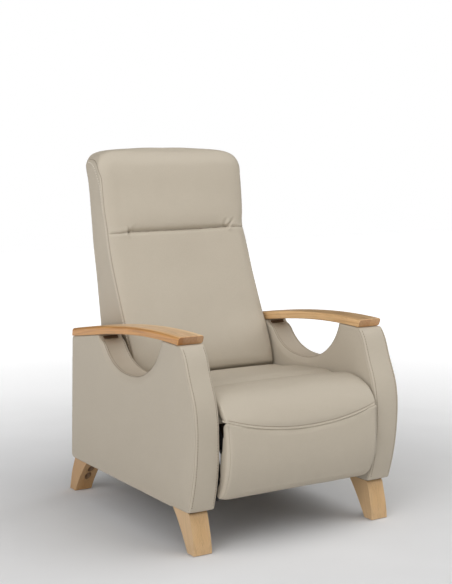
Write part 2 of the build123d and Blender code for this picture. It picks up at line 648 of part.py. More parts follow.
with BuildPart() as bracket_screws:
    for s in (1, -1):
        with BuildSketch(Plane.XZ.offset(-BOARD_Y0)):
            with Locations((s * (PLANE2 - 12), 275), (s * (PLANE2 - 12), 312)):
                Circle(2.5)
        extrude(amount=9)
        with BuildSketch(Plane.XZ.offset(-BOARD_Y0 - 3)):
            with Locations((s * (PLANE2 - 12), 275), (s * (PLANE2 - 12), 312)):
                Circle(4.5)
        extrude(amount=-2)
        with BuildSketch(Plane.XZ.offset(-BOARD_Y0 - 3)):
            with Locations((s * (PLANE2 - 12), 275), (s * (PLANE2 - 12), 312)):
                Circle(2.5)
        extrude(amount=3)
bracket_screws.part.label = "bracket_screws"
export_step(bracket_screws.part, "parts/bracket_screws.step")

with BuildPart() as footrest_board:
    with BuildSketch(Plane.XZ.offset(-BOARD_Y0)):
        with Locations((0, 270)):
            Rectangle(520, 200)
    extrude(amount=12)
    with BuildSketch(Plane.XZ.offset(-SMILE_Y)):
        with BuildLine():
            ThreePointArc((-300, SMILE_LOW + 44.1), (0, SMILE_LOW - 6), (300, SMILE_LOW + 44.1))
            Polyline((300, SMILE_LOW + 44.1), (300, 520), (-300, 520), (-300, SMILE_LOW + 44.1))
        make_face()
    extrude(amount=75, both=True, dir=(0, -0.8, 0.6), mode=Mode.SUBTRACT)
    with BuildSketch(Plane.XZ.offset(-BOARD_Y0)):
        with Locations(*[(s * (PLANE2 - 12), z) for s in (1, -1) for z in (275, 312)]):
            Circle(2.5)
    extrude(amount=9, mode=Mode.SUBTRACT)
footrest_board.part.label = "footrest_board"
export_step(footrest_board.part, "parts/footrest_board.step")

with BuildPart() as footrest_pad:
    with BuildSketch(Plane.YZ.offset(-SEAT_X)):
        with BuildLine():
            Spline((-440, 400), (-446, 370), (-454, 306), (-449, 242), (-427, 180), (-408, 154), (-396, 150))
            Polyline((-396, 150), (-396, 400), (-440, 400))
        make_face()
    extrude(amount=2 * SEAT_X)
    with BuildSketch(Plane.XZ.offset(-SMILE_Y)):
        with BuildLine():
            ThreePointArc((-300, SMILE_LOW + 50.1), (0, SMILE_LOW), (300, SMILE_LOW + 50.1))
            Polyline((300, SMILE_LOW + 50.1), (300, 520), (-300, 520), (-300, SMILE_LOW + 50.1))
        make_face()
    extrude(amount=75, both=True, dir=(0, -0.8, 0.6), mode=Mode.SUBTRACT)
    add(footrest_board.part, mode=Mode.SUBTRACT)
    with BuildSketch(Plane.XZ.offset(-BOARD_Y0)):
        with Locations((0, 270)):
            Rectangle(521, 240)
    extrude(amount=3, mode=Mode.SUBTRACT)
    with BuildSketch(Plane.XZ.offset(-BOARD_Y0)):
        with Locations(*[(s * (PLANE2 - 12), z) for s in (1, -1) for z in (275, 312)]):
            Circle(2.5)
    extrude(amount=9, mode=Mode.SUBTRACT)
footrest_pad.part.label = "footrest_pad"
export_step(footrest_pad.part, "parts/footrest_pad.step")

# ---------------------------------------------------------------- back
# depths are measured forward from the sloping rear face
STILE_D0, STILE_D1 = 13.0, 37.0
with BuildPart() as back_stile_left:
    with BuildSketch(Plane.YZ.offset(222)):
        with BuildLine():
            Polyline((rear(345) - STILE_D0, 345), (rear(1100) - STILE_D0, 1100), (rear(1100) - STILE_D1, 1100), (rear(345) - STILE_D1, 345), close=True)
        make_face()
    extrude(amount=28)
    with BuildSketch(Plane.YZ.offset(250)):
        with Locations((rear(362) - 25, 362), (rear(382) - 25, 382)):
            Circle(3)
    extrude(amount=-20, mode=Mode.SUBTRACT)
back_stile_left.part.label = "back_stile_left"
export_step(back_stile_left.part, "parts/back_stile_left.step")

with BuildPart() as back_stile_right:
    mirror(back_stile_left.part, about=Plane.YZ)
back_stile_right.part.label = "back_stile_right"
export_step(back_stile_right.part, "parts/back_stile_right.step")

with BuildPart() as back_rail_top:
    with BuildSketch(Plane.YZ.offset(-222)):
        with BuildLine():
            Polyline((rear(1040) - STILE_D0, 1040), (rear(1100) - STILE_D0, 1100), (rear(1100) - STILE_D1, 1100), (rear(1040) - STILE_D1, 1040), close=True)
        make_face()
    extrude(amount=444)
back_rail_top.part.label = "back_rail_top"
export_step(back_rail_top.part, "parts/back_rail_top.step")

with BuildPart() as back_rail_middle:
    with BuildSketch(Plane.YZ.offset(-222)):
        with BuildLine():
            Polyline((rear(865) - STILE_D0, 865), (rear(910) - STILE_D0, 910), (rear(910) - STILE_D1, 910), (rear(865) - STILE_D1, 865), close=True)
        make_face()
    extrude(amount=444)
back_rail_middle.part.label = "back_rail_middle"
export_step(back_rail_middle.part, "parts/back_rail_middle.step")

with BuildPart() as back_rail_bottom:
    with BuildSketch(Plane.YZ.offset(-222)):
        with BuildLine():
            Polyline((rear(400) - STILE_D0, 400), (rear(460) - STILE_D0, 460), (rear(460) - STILE_D1, 460), (rear(400) - STILE_D1, 400), close=True)
        make_face()
    extrude(amount=444)
back_rail_bottom.part.label = "back_rail_bottom"
export_step(back_rail_bottom.part, "parts/back_rail_bottom.step")

# elastic bands across the stiles
with BuildPart() as back_webbing:
    for z in (500, 580, 660, 740, 820, 960):
        with BuildSketch(Plane.YZ.offset(-246)):
            with BuildLine():
                Polyline((rear(z) - STILE_D1, z), (rear(z + 50) - STILE_D1, z + 50), (rear(z + 50) - STILE_D1 - 2, z + 50), (rear(z) - STILE_D1 - 2, z), close=True)
            make_face()
        extrude(amount=492)
back_webbing.part.label = "back_webbing"
export_step(back_webbing.part, "parts/back_webbing.step")

with BuildPart() as back_bracket_left:
    with BuildSketch(Plane.YZ.offset(250.2)):
        with BuildLine():
            Polyline((BACK_Y - 14, BACK_Z - 4), (BACK_Y - 2, BACK_Z - 14), (rear(345) - 14, 343), (rear(396) - 14, 396), (rear(396) - 38, 396), (BACK_Y + 2, BACK_Z + 14), (BACK_Y - 12, BACK_Z + 8), close=True)
        make_face()
        with Locations((BACK_Y, BACK_Z)):
            Circle(PIN_R + FIT, mode=Mode.SUBTRACT)
        with Locations((rear(362) - 25, 362), (rear(382) - 25, 382)):
            Circle(3, mode=Mode.SUBTRACT)
    extrude(amount=4)
back_bracket_left.part.label = "back_bracket_left"
export_step(back_bracket_left.part, "parts/back_bracket_left.step")

with BuildPart() as back_bracket_right:
    mirror(back_bracket_left.part, about=Plane.YZ)
back_bracket_right.part.label = "back_bracket_right"
export_step(back_bracket_right.part, "parts/back_bracket_right.step")

# pins that stand on the carriage plates and carry the back
with BuildPart() as back_hinge_pins:
    for s in (1, -1):
        with BuildSketch(Plane.YZ.offset(s * (PLATE_X0 + PLATE_T))):
            with Locations((BACK_Y, BACK_Z)):
                Circle(PIN_R)
        extrude(amount=-s * 16)
        with BuildSketch(Plane.YZ.offset(s * (PLATE_X0 + PLATE_T))):
            with Locations((BACK_Y, BACK_Z)):
                Circle(7)
        extrude(amount=s * 3)
        with BuildSketch(Plane.YZ.offset(s * 249.7)):
            with Locations((BACK_Y, BACK_Z)):
                Circle(6.5)
        extrude(amount=-s * 3.7)
        with BuildSketch(Plane.YZ.offset(s * 254.7)):
            with Locations((BACK_Y, BACK_Z)):
                Circle(7)
        extrude(amount=s * 3.3)
back_hinge_pins.part.label = "back_hinge_pins"
export_step(back_hinge_pins.part, "parts/back_hinge_pins.step")

with BuildPart() as bracket_bolts:
    for s in (1, -1):
        with BuildSketch(Plane.YZ.offset(s * 254.2)):
            with Locations((rear(362) - 25, 362), (rear(382) - 25, 382)):
                Circle(3)
        extrude(amount=-s * 22)
        with BuildSketch(Plane.YZ.offset(s * 254.2)):
            with Locations((rear(362) - 25, 362), (rear(382) - 25, 382)):
                Circle(5.5)
        extrude(amount=s * 2.4)
bracket_bolts.part.label = "bracket_bolts"
export_step(bracket_bolts.part, "parts/bracket_bolts.step")

# the covers of the back share one outline seen from the front
with BuildPart() as back_outer_cover:
    with BuildSketch(Plane.YZ.offset(-SEAT_X)):
        with BuildLine():
            Polyline((rear(402) - 39, 402), (rear(402) - 12, 402), (rear(334) - 12, 334), (rear(334), 334), (rear(1112), 1112), (450, 1140), (438, 1158),
                     (426, 1166), (rear(1166) - 39, 1166), close=True)
        make_face()
    extrude(amount=2 * SEAT_X)
    with BuildSketch(Plane.XZ.offset(-500)):
        with BuildLine():
            Polyline((-SEAT_X, 1092), (-SEAT_X, 320), (SEAT_X, 320), (SEAT_X, 1092))
            ThreePointArc((SEAT_X, 1092), (259, 1131), (222, 1151))
            ThreePointArc((222, 1151), (0, 1166), (-222, 1151))
            ThreePointArc((-222, 1151), (-259, 1131), (-SEAT_X, 1092))
        make_face()
    extrude(amount=250, mode=Mode.INTERSECT)
    # the box that holds the frame, open to the front and the bottom
    with BuildSketch(Plane.YZ.offset(-251)):
        with BuildLine():
            Polyline((rear(390) - 12, 390), (rear(1112) - 12, 1112), (rear(1112) - 60, 1112), (rear(390) - 60, 390), close=True)
        make_face()
    extrude(amount=502, mode=Mode.SUBTRACT)
back_outer_cover.part.label = "back_outer_cover"
export_step(back_outer_cover.part, "parts/back_outer_cover.step")

with BuildPart() as lumbar_cushion:
    with BuildSketch(Plane.YZ.offset(-SEAT_X)):
        with BuildLine():
            Spline((116, 424), (131, 489), (183, 600), (226, 690), (261, 768), (299, 884))
            Polyline((299, 884), (rear(884) - 39.5, 884), (rear(402) - 39.5, 402), (124, 402), (116, 410), (116, 424))
        make_face()
    extrude(amount=2 * SEAT_X)
lumbar_cushion.part.label = "lumbar_cushion"
export_step(lumbar_cushion.part, "parts/lumbar_cushion.step")

with BuildPart() as head_cushion:
    with BuildSketch(Plane.YZ.offset(-SEAT_X)):
        with BuildLine():
            Spline((303, 886), (312, 930), (327, 1003), (348, 1095), (368, 1146), (392, 1163))
            Polyline((392, 1163), (402, 1166), (rear(1166) - 39.5, 1166), (rear(886) - 39.5, 886), (303, 886))
        make_face()
    extrude(amount=2 * SEAT_X)
    with BuildSketch(Plane.XZ.offset(-500)):
        with BuildLine():
            Polyline((-SEAT_X, 1092), (-SEAT_X, 380), (SEAT_X, 380), (SEAT_X, 1092))
            ThreePointArc((SEAT_X, 1092), (259, 1131), (222, 1151))
            ThreePointArc((222, 1151), (0, 1166), (-222, 1151))
            ThreePointArc((-222, 1151), (-259, 1131), (-SEAT_X, 1092))
        make_face()
    extrude(amount=250, mode=Mode.INTERSECT)
head_cushion.part.label = "head_cushion"
export_step(head_cushion.part, "parts/head_cushion.step")
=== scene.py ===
import bpy
import json
import math
import numpy as np
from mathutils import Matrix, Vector
from mathutils.bvhtree import BVHTree


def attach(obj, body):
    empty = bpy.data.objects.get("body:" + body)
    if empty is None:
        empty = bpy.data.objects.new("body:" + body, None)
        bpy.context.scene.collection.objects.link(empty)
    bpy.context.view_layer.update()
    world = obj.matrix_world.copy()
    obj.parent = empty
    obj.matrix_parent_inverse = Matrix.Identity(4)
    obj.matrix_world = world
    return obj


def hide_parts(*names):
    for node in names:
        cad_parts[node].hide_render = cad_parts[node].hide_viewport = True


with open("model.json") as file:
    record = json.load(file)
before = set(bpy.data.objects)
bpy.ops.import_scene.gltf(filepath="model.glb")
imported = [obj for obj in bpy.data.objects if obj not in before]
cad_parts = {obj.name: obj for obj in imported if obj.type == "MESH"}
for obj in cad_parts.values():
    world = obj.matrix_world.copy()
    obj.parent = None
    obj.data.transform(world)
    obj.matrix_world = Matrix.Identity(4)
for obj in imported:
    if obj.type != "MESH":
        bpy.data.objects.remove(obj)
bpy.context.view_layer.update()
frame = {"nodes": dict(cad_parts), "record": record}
N = frame["nodes"]
rng = np.random.default_rng(7)

# ------------------------------------------------------------------ camera
scene = bpy.context.scene
cam_data = bpy.data.cameras.new("camera")
cam = bpy.data.objects.new("camera", cam_data)
scene.collection.objects.link(cam)
yaw, pitch = math.radians(32.04), math.radians(-7.0)
forward = Vector((math.sin(yaw) * math.cos(pitch), math.cos(yaw) * math.cos(pitch), math.sin(pitch)))
cam.location = (-2.08587, -3.33747, 1.18825)
cam.rotation_euler = forward.to_track_quat("-Z", "Y").to_euler()
cam_data.sensor_fit = "VERTICAL"
cam_data.sensor_height = 36.0
cam_data.lens = 36.0 * 1226.11 / 584.0
cam_data.clip_end = 60.0
scene.camera = cam

# ------------------------------------------------------------------ the outlines of part.py, mm
ARM_IN, ARM_OUT = 281.4, 370.0
SEAT_X = 272.0
ARM_FRONT = [(-343, 608), (-357, 593), (-388, 525), (-421, 450), (-433, 375), (-430, 298), (-410, 189), (-392, 132)]
CAP_UNDER = [(380, 541.2), (174, 573), (-4, 597), (-206, 610), (-343, 608)]
U_CUT = [(166, 575), (144, 545), (102, 505), (46, 481), (-16, 473), (-63, 475), (-116, 489), (-156, 510), (-194, 544), (-220, 587), (-229, 613)]


def rear(z):
    return 362.0 + (z - 573.0) * 92.0 / 539.0


def spline(points, step=4.0):
    """A smooth curve through the points, sampled every step mm: a natural cubic over the chord length."""
    p = np.array(points, float)
    d = np.r_[0, np.cumsum(np.linalg.norm(np.diff(p, axis=0), axis=1))]
    n = len(p)
    h = np.diff(d)
    a = np.zeros((n, n))
    b = np.zeros((n, p.shape[1]))
    a[0, 0] = a[-1, -1] = 1
    for i in range(1, n - 1):
        a[i, i - 1], a[i, i], a[i, i + 1] = h[i - 1], 2 * (h[i - 1] + h[i]), h[i]
        b[i] = 6 * ((p[i + 1] - p[i]) / h[i] - (p[i] - p[i - 1]) / h[i - 1])
    m = np.linalg.solve(a, b)
    t = np.linspace(0, d[-1], max(2, int(round(d[-1] / step)) + 1))
    k = np.clip(np.searchsorted(d, t, side="right") - 1, 0, n - 2)
    u = t - d[k]
    hk = h[k][:, None]
    u = u[:, None]
    return ((m[k] * (hk - u) ** 3 + m[k + 1] * u ** 3) / (6 * hk)
            + (p[k] / hk - m[k] * hk / 6) * (hk - u) + (p[k + 1] / hk - m[k + 1] * hk / 6) * u)


def resample(p, n):
    p = np.asarray(p, float)
    d = np.r_[0, np.cumsum(np.linalg.norm(np.diff(p, axis=0), axis=1))]
    t = np.linspace(0, d[-1], n)
    return np.stack([np.interp(t, d, p[:, i]) for i in range(p.shape[1])], 1)


def seg_dist(q, line):
    """Distance of each point of q (n, k) to a polyline (m, k)."""
    best = np.full(len(q), 1e9)
    for i in range(len(line) - 1):
        a, b = line[i], line[i + 1]
        ab = b - a
        t = np.clip(((q - a) @ ab) / max(ab @ ab, 1e-9), 0, 1)
        np.minimum(best, np.linalg.norm(q - a - t[:, None] * ab, axis=1), out=best)
    return best


def smooth01(x):
    x = np.clip(x, 0, 1)
    return x * x * (3 - 2 * x)


def bump(d, sigma):
    return np.exp(-0.5 * (d / sigma) ** 2)


# ------------------------------------------------------------------ mesh helpers, all lengths in mm until the object is made
def new_object(name, verts, faces):
    me = bpy.data.meshes.new(name)
    me.from_pydata([tuple(v) for v in np.asarray(verts, float) / 1000.0], [], faces)
    me.update()
    o = bpy.data.objects.new(name, me)
    scene.collection.objects.link(o)
    return o


def coords(o):
    co = np.empty(len(o.data.vertices) * 3, np.float32)
    o.data.vertices.foreach_get("co", co)
    return co.reshape(-1, 3).astype(float) * 1000.0


def set_coords(o, co):
    o.data.vertices.foreach_set("co", (np.asarray(co, float) / 1000.0).astype(np.float32).ravel())
    o.data.update()


def normals(o):
    no = np.empty(len(o.data.vertices) * 3, np.float32)
    o.data.vertex_normals.foreach_get("vector", no)
    return no.reshape(-1, 3).astype(float)


def bake(o):
    """Applies the modifiers of o."""
    bpy.context.view_layer.update()
    dg = bpy.context.evaluated_depsgraph_get()
    me = bpy.data.meshes.new_from_object(o.evaluated_get(dg))
    old = o.data
    o.modifiers.clear()
    o.data = me
    me.name = o.name
    bpy.data.meshes.remove(old)
    return o


def voxel(o, size):
    m = o.modifiers.new("remesh", "REMESH")
    m.mode = "VOXEL"
    m.voxel_size = size / 1000.0
    m.adaptivity = 0
    return bake(o)


def subdivide(o, levels=1):
    m = o.modifiers.new("sub", "SUBSURF")
    m.levels = m.render_levels = levels
    return bake(o)


def relax(o, times, weight=None, factor=0.5):
    e = np.empty(len(o.data.edges) * 2, np.int32)
    o.data.edges.foreach_get("vertices", e)
    e = e.reshape(-1, 2)
    n = len(o.data.vertices)
    deg = np.bincount(e.ravel(), minlength=n).astype(float)[:, None]
    co = coords(o)
    f = factor if weight is None else factor * weight[:, None]
    for _ in range(times):
        s = np.zeros_like(co)
        for k in range(3):
            s[:, k] = np.bincount(e[:, 0], co[e[:, 1], k], n) + np.bincount(e[:, 1], co[e[:, 0], k], n)
        co = co + f * (s / np.maximum(deg, 1) - co)
    set_coords(o, co)
    return o


def smooth_shade(o):
    o.data.polygons.foreach_set("use_smooth", np.ones(len(o.data.polygons), bool))
    o.data.update()
    return o


def prism(name, outline, x0, x1):
    """The (y, z) outline pulled from x0 to x1, with closed ends."""
    p = np.asarray(outline, float)
    n = len(p)
    v = np.r_[np.c_[np.full(n, x0), p], np.c_[np.full(n, x1), p]]
    f = [[i, (i + 1) % n, n + (i + 1) % n, n + i] for i in range(n)]
    f += [list(range(n))[::-1], [n + i for i in range(n)]]
    return new_object(name, v, f)


def loft(name, rings):
    """Closed rings of the same count joined in a row, both ends closed."""
    rings = [np.asarray(r, float) for r in rings]
    n, m = len(rings[0]), len(rings)
    v = np.vstack(rings)
    f = [[k * n + i, k * n + (i + 1) % n, (k + 1) * n + (i + 1) % n, (k + 1) * n + i] for k in range(m - 1) for i in range(n)]
    f += [list(range(n))[::-1], [(m - 1) * n + i for i in range(n)]]
    return new_object(name, v, f)


def wave(co, scale, seed):
    """A gentle smooth noise from a few sines, about -1 to 1."""
    r = np.random.default_rng(seed)
    out = np.zeros(len(co))
    for _ in range(7):
        k = r.normal(size=3)
        k *= 2 * math.pi / (scale * r.uniform(0.7, 1.6) * np.linalg.norm(k))
        out += np.sin(co @ k + r.uniform(0, 6.28)) / 7 * 1.6
    return out


def bvh(o):
    bpy.context.view_layer.update()
    me = o.data
    return BVHTree.FromPolygons([v.co * 1000.0 for v in me.vertices], [tuple(p.vertices) for p in me.polygons])


def lay_on(tree, pts, hint=None, reach=60.0):
    """Points and normals on the surface, nearest to pts, or along the hint direction."""
    out, nor = [], []
    for p in pts:
        hit = None
        if hint is not None:
            d = Vector(hint)
            hit = tree.ray_cast(Vector(p) - d * reach, d, reach * 2)
            if hit[0] is None:
                hit = None
        if hit is None:
            hit = tree.find_nearest(Vector(p))
        out.append(hit[0])
        nor.append(hit[1])
    return np.array(out, float), np.array(nor, float)


def lay_even(tree, pts):
    """Like lay_on, but the line is evened out on the surface, so it doesn't jog where the leather swells."""
    p, n = lay_on(tree, pts)
    for _ in range(6):
        p[1:-1] = 0.25 * p[:-2] + 0.5 * p[1:-1] + 0.25 * p[2:]
    return lay_on(tree, p)


def tube_mesh(path, radius, sides=8, closed=False):
    """verts and faces of a round tube along the path; radius may be a number per point."""
    p = np.asarray(path, float)
    n = len(p)
    r = np.full(n, radius, float) if np.isscalar(radius) else np.asarray(radius, float)
    t = np.gradient(p, axis=0)
    if closed:
        t = np.roll(p, -1, 0) - np.roll(p, 1, 0)
    t /= np.linalg.norm(t, axis=1)[:, None] + 1e-12
    up = np.array([0.0, 0.0, 1.0]) if abs(t[0][2]) < 0.9 else np.array([1.0, 0, 0])
    a = np.cross(t[0], up)
    a /= np.linalg.norm(a)
    v = []
    for i in range(n):
        a = a - t[i] * (a @ t[i])
        a /= np.linalg.norm(a)
        b = np.cross(t[i], a)
        for k in range(sides):
            w = 2 * math.pi * k / sides
            v.append(p[i] + r[i] * (math.cos(w) * a + math.sin(w) * b))
    f = []
    for i in range(n if closed else n - 1):
        j = (i + 1) % n
        for k in range(sides):
            f.append([i * sides + k, i * sides + (k + 1) % sides, j * sides + (k + 1) % sides, j * sides + k])
    if not closed:
        f += [list(range(sides))[::-1], [(n - 1) * sides + k for k in range(sides)]]
    return v, f


def stitches(name, runs, length=6.2, gap=2.2, radius=0.75, lift=0.0, hole=1.25):
    """Separate stitches along runs of (points, normals): little capsules lying on the leather, with a needle hole
    between them, a small dip painted near-black as shade.
    """
    V, F, holes = [], [], []
    for pts, nor in runs:
        pts, nor = np.asarray(pts, float), np.asarray(nor, float)
        d = np.r_[0, np.cumsum(np.linalg.norm(np.diff(pts, axis=0), axis=1))]
        s = gap
        while s + length < d[-1]:
            ts = np.linspace(s, s + length, 5)
            c = np.stack([np.interp(ts, d, pts[:, i]) for i in range(3)], 1)
            m = np.stack([np.interp(ts, d, nor[:, i]) for i in range(3)], 1)
            m /= np.linalg.norm(m, axis=1)[:, None] + 1e-9
            rise = np.array([-0.75, 0.1, 0.45, 0.1, -0.75]) * radius + lift
            v, f = tube_mesh(c + m * rise[:, None], np.array([0.55, 0.95, 1.0, 0.95, 0.55]) * radius, sides=6)
            k = len(V)
            V += v
            F += [[i + k for i in q] for q in f]
            h = s + length + gap / 2
            c0 = np.array([np.interp(h, d, pts[:, i]) for i in range(3)])
            m0 = np.array([np.interp(h, d, nor[:, i]) for i in range(3)])
            c1 = np.array([np.interp(h + 0.5, d, pts[:, i]) for i in range(3)])
            holes.append((c0, m0 / (np.linalg.norm(m0) + 1e-9), c1 - c0))
            s += length + gap
    threads = len(F)
    for c0, m0, t0 in holes:
        t0 = t0 - m0 * (t0 @ m0)
        t0 /= np.linalg.norm(t0) + 1e-9
        b0 = np.cross(m0, t0)
        k = len(V)
        V += [c0 + m0 * 0.42]
        for rr, hh in ((0.55, 0.36), (1.0, -0.25)):
            V += [c0 + hole * rr * (math.cos(a) * t0 + math.sin(a) * b0) + m0 * hh for a in np.linspace(0, 2 * math.pi, 9)[:-1]]
        V += [c0 - m0 * 0.6]
        for i in range(8):
            j = (i + 1) % 8
            F += [[k, k + 1 + i, k + 1 + j], [k + 1 + i, k + 9 + i, k + 9 + j, k + 1 + j], [k + 17, k + 9 + j, k + 9 + i]]
    o = new_object(name, V, F)
    idx = np.zeros(len(F), np.int32)
    idx[threads:] = 1
    o.data.materials.append(None)
    o.data.materials.append(None)
    o.data.polygons.foreach_set("material_index", idx)
    return smooth_shade(o)


def sewn(o, thread):
    o.data.materials[0] = thread
    # the holes take the near-black painted-shade colour
    o.data.materials[1] = HOLE_SHADE
    return o


def join_parts(name, parts):
    V, F = [], []
    for v, f in parts:
        k = len(V)
        V += [tuple(q) for q in v]
        F += [[i + k for i in q] for q in f]
    return smooth_shade(new_object(name, V, F))


def signed_distance(q, poly):
    """Signed distance (negative inside) and its outward direction for points q to a closed polygon."""
    best = np.full(len(q), 1e9)
    near = np.zeros_like(q)
    inside = np.zeros(len(q), bool)
    n = len(poly)
    for i in range(n):
        a, b = poly[i], poly[(i + 1) % n]
        ab = b - a
        t = np.clip(((q - a) @ ab) / max(ab @ ab, 1e-9), 0, 1)
        c = a + t[:, None] * ab
        d = np.linalg.norm(q - c, axis=1)
        m = d < best
        best[m] = d[m]
        near[m] = c[m]
        if a[1] != b[1]:
            inside ^= ((a[1] > q[:, 1]) != (b[1] > q[:, 1])) & (q[:, 0] < (b[0] - a[0]) * (q[:, 1] - a[1]) / (b[1] - a[1]) + a[0])
    g = (q - near) / np.maximum(best, 1e-6)[:, None]
    g[inside] *= -1
    return np.where(inside, -best, best), g


def refit(o, tree, rounds=((5, 0.5), (2, 0.4))):
    """Evens the mesh out and puts it back on the surface it was made from, so its edges stay crisp."""
    for times, f in rounds:
        relax(o, times, factor=f)
        co = coords(o)
        for i, p in enumerate(co):
            hit = tree.find_nearest(Vector(p))[0]
            co[i] = hit
        set_coords(o, co)
    relax(o, 1, factor=0.25)
    return o


def inset(ring, d):
    """A closed 2D ring moved inwards by d."""
    t = np.roll(ring, -1, 0) - np.roll(ring, 1, 0)
    t /= np.linalg.norm(t, axis=1)[:, None] + 1e-9
    area = 0.5 * np.sum(ring[:, 0] * np.roll(ring[:, 1], -1) - np.roll(ring[:, 0], -1) * ring[:, 1])
    n = np.c_[-t[:, 1], t[:, 0]] * (1 if area > 0 else -1)
    return ring + n * d


def ended_rings(section, x0, x1, count, r):
    """Rings of a loft along X whose ends round off with radius r."""
    xs = list(np.linspace(x0 + r, x1 - r, count))
    out = []
    for k in range(6):
        e = r * (1 - math.cos(math.pi / 2 * k / 6)) if k else 0.05
        out.append((x0 + e, r - math.sqrt(max(0.0, r * r - (r - e) ** 2))))
    stations = out + [(x, 0.0) for x in xs] + [(x0 + x1 - x, d) for x, d in out[::-1]]
    rings = []
    for x, d in stations:
        ring = section(x)
        ring = inset(ring, d) if d > 0.01 else ring
        rings.append(np.c_[np.full(len(ring), x), ring])
    return rings


def mirrored(o, name):
    me = o.data.copy()
    m = bpy.data.objects.new(name, me)
    scene.collection.objects.link(m)
    co = coords(m)
    co[:, 0] *= -1
    set_coords(m, co)
    me.flip_normals()
    return m


def seam_shade_cord(pts, nor, radius=0.85, sink=0.35):
    """Painted shade for the line where two leather edges meet: a thin dark cord lying in the seam."""
    pts = np.asarray(pts, float) - np.asarray(nor, float) * sink
    k = [0]
    for i in range(1, len(pts)):
        if np.linalg.norm(pts[i] - pts[k[-1]]) > 1.2:
            k.append(i)
    r = radius if np.isscalar(radius) else np.asarray(radius)[k]
    p = pts[k]
    p[1:-1] = 0.25 * p[:-2] + 0.5 * p[1:-1] + 0.25 * p[2:]
    return tube_mesh(p, r, 6)


# ------------------------------------------------------------------ materials
def material(name):
    m = bpy.data.materials.new(name)
    m.use_nodes = True
    nt = m.node_tree
    b = nt.nodes["Principled BSDF"]
    return m, nt, b


def node(nt, kind, **kw):
    n = nt.nodes.new(kind)
    for k, v in kw.items():
        if k in n.inputs:
            n.inputs[k].default_value = v
        else:
            setattr(n, k, v)
    return n


def math_node(nt, op, a, b=None, c=None, clamp=False):
    n = nt.nodes.new("ShaderNodeMath")
    n.operation = op
    n.use_clamp = clamp
    for i, x in enumerate((a, b, c)):
        if x is None:
            continue
        if isinstance(x, (int, float)):
            n.inputs[i].default_value = x
        else:
            nt.links.new(x, n.inputs[i])
    return n.outputs[0]


def mix_color(nt, fac, a, b, blend="MIX"):
    n = nt.nodes.new("ShaderNodeMix")
    n.data_type = "RGBA"
    n.blend_type = blend
    for sock, x in ((n.inputs[0], fac), (n.inputs[6], a), (n.inputs[7], b)):
        if isinstance(x, (int, float)):
            sock.default_value = x
        elif isinstance(x, (tuple, list)):
            sock.default_value = (*x[:3], 1.0)
        else:
            nt.links.new(x, sock)
    return n.outputs[2]


def noise_tex(nt, vec, scale, detail=2.0, rough=0.5, distortion=0.0):
    n = nt.nodes.new("ShaderNodeTexNoise")
    n.inputs["Scale"].default_value = scale
    n.inputs["Detail"].default_value = detail
    n.inputs["Roughness"].default_value = rough
    n.inputs["Distortion"].default_value = distortion
    nt.links.new(vec, n.inputs["Vector"])
    return n


def ramp(nt, fac, stops):
    n = nt.nodes.new("ShaderNodeValToRGB")
    while len(n.color_ramp.elements) < len(stops):
        n.color_ramp.elements.new(0.5)
    for e, (pos, col) in zip(n.color_ramp.elements, stops):
        e.position = pos
        e.color = (*col, 1.0) if len(col) == 3 else col
    nt.links.new(fac, n.inputs[0])
    return n.outputs[0]


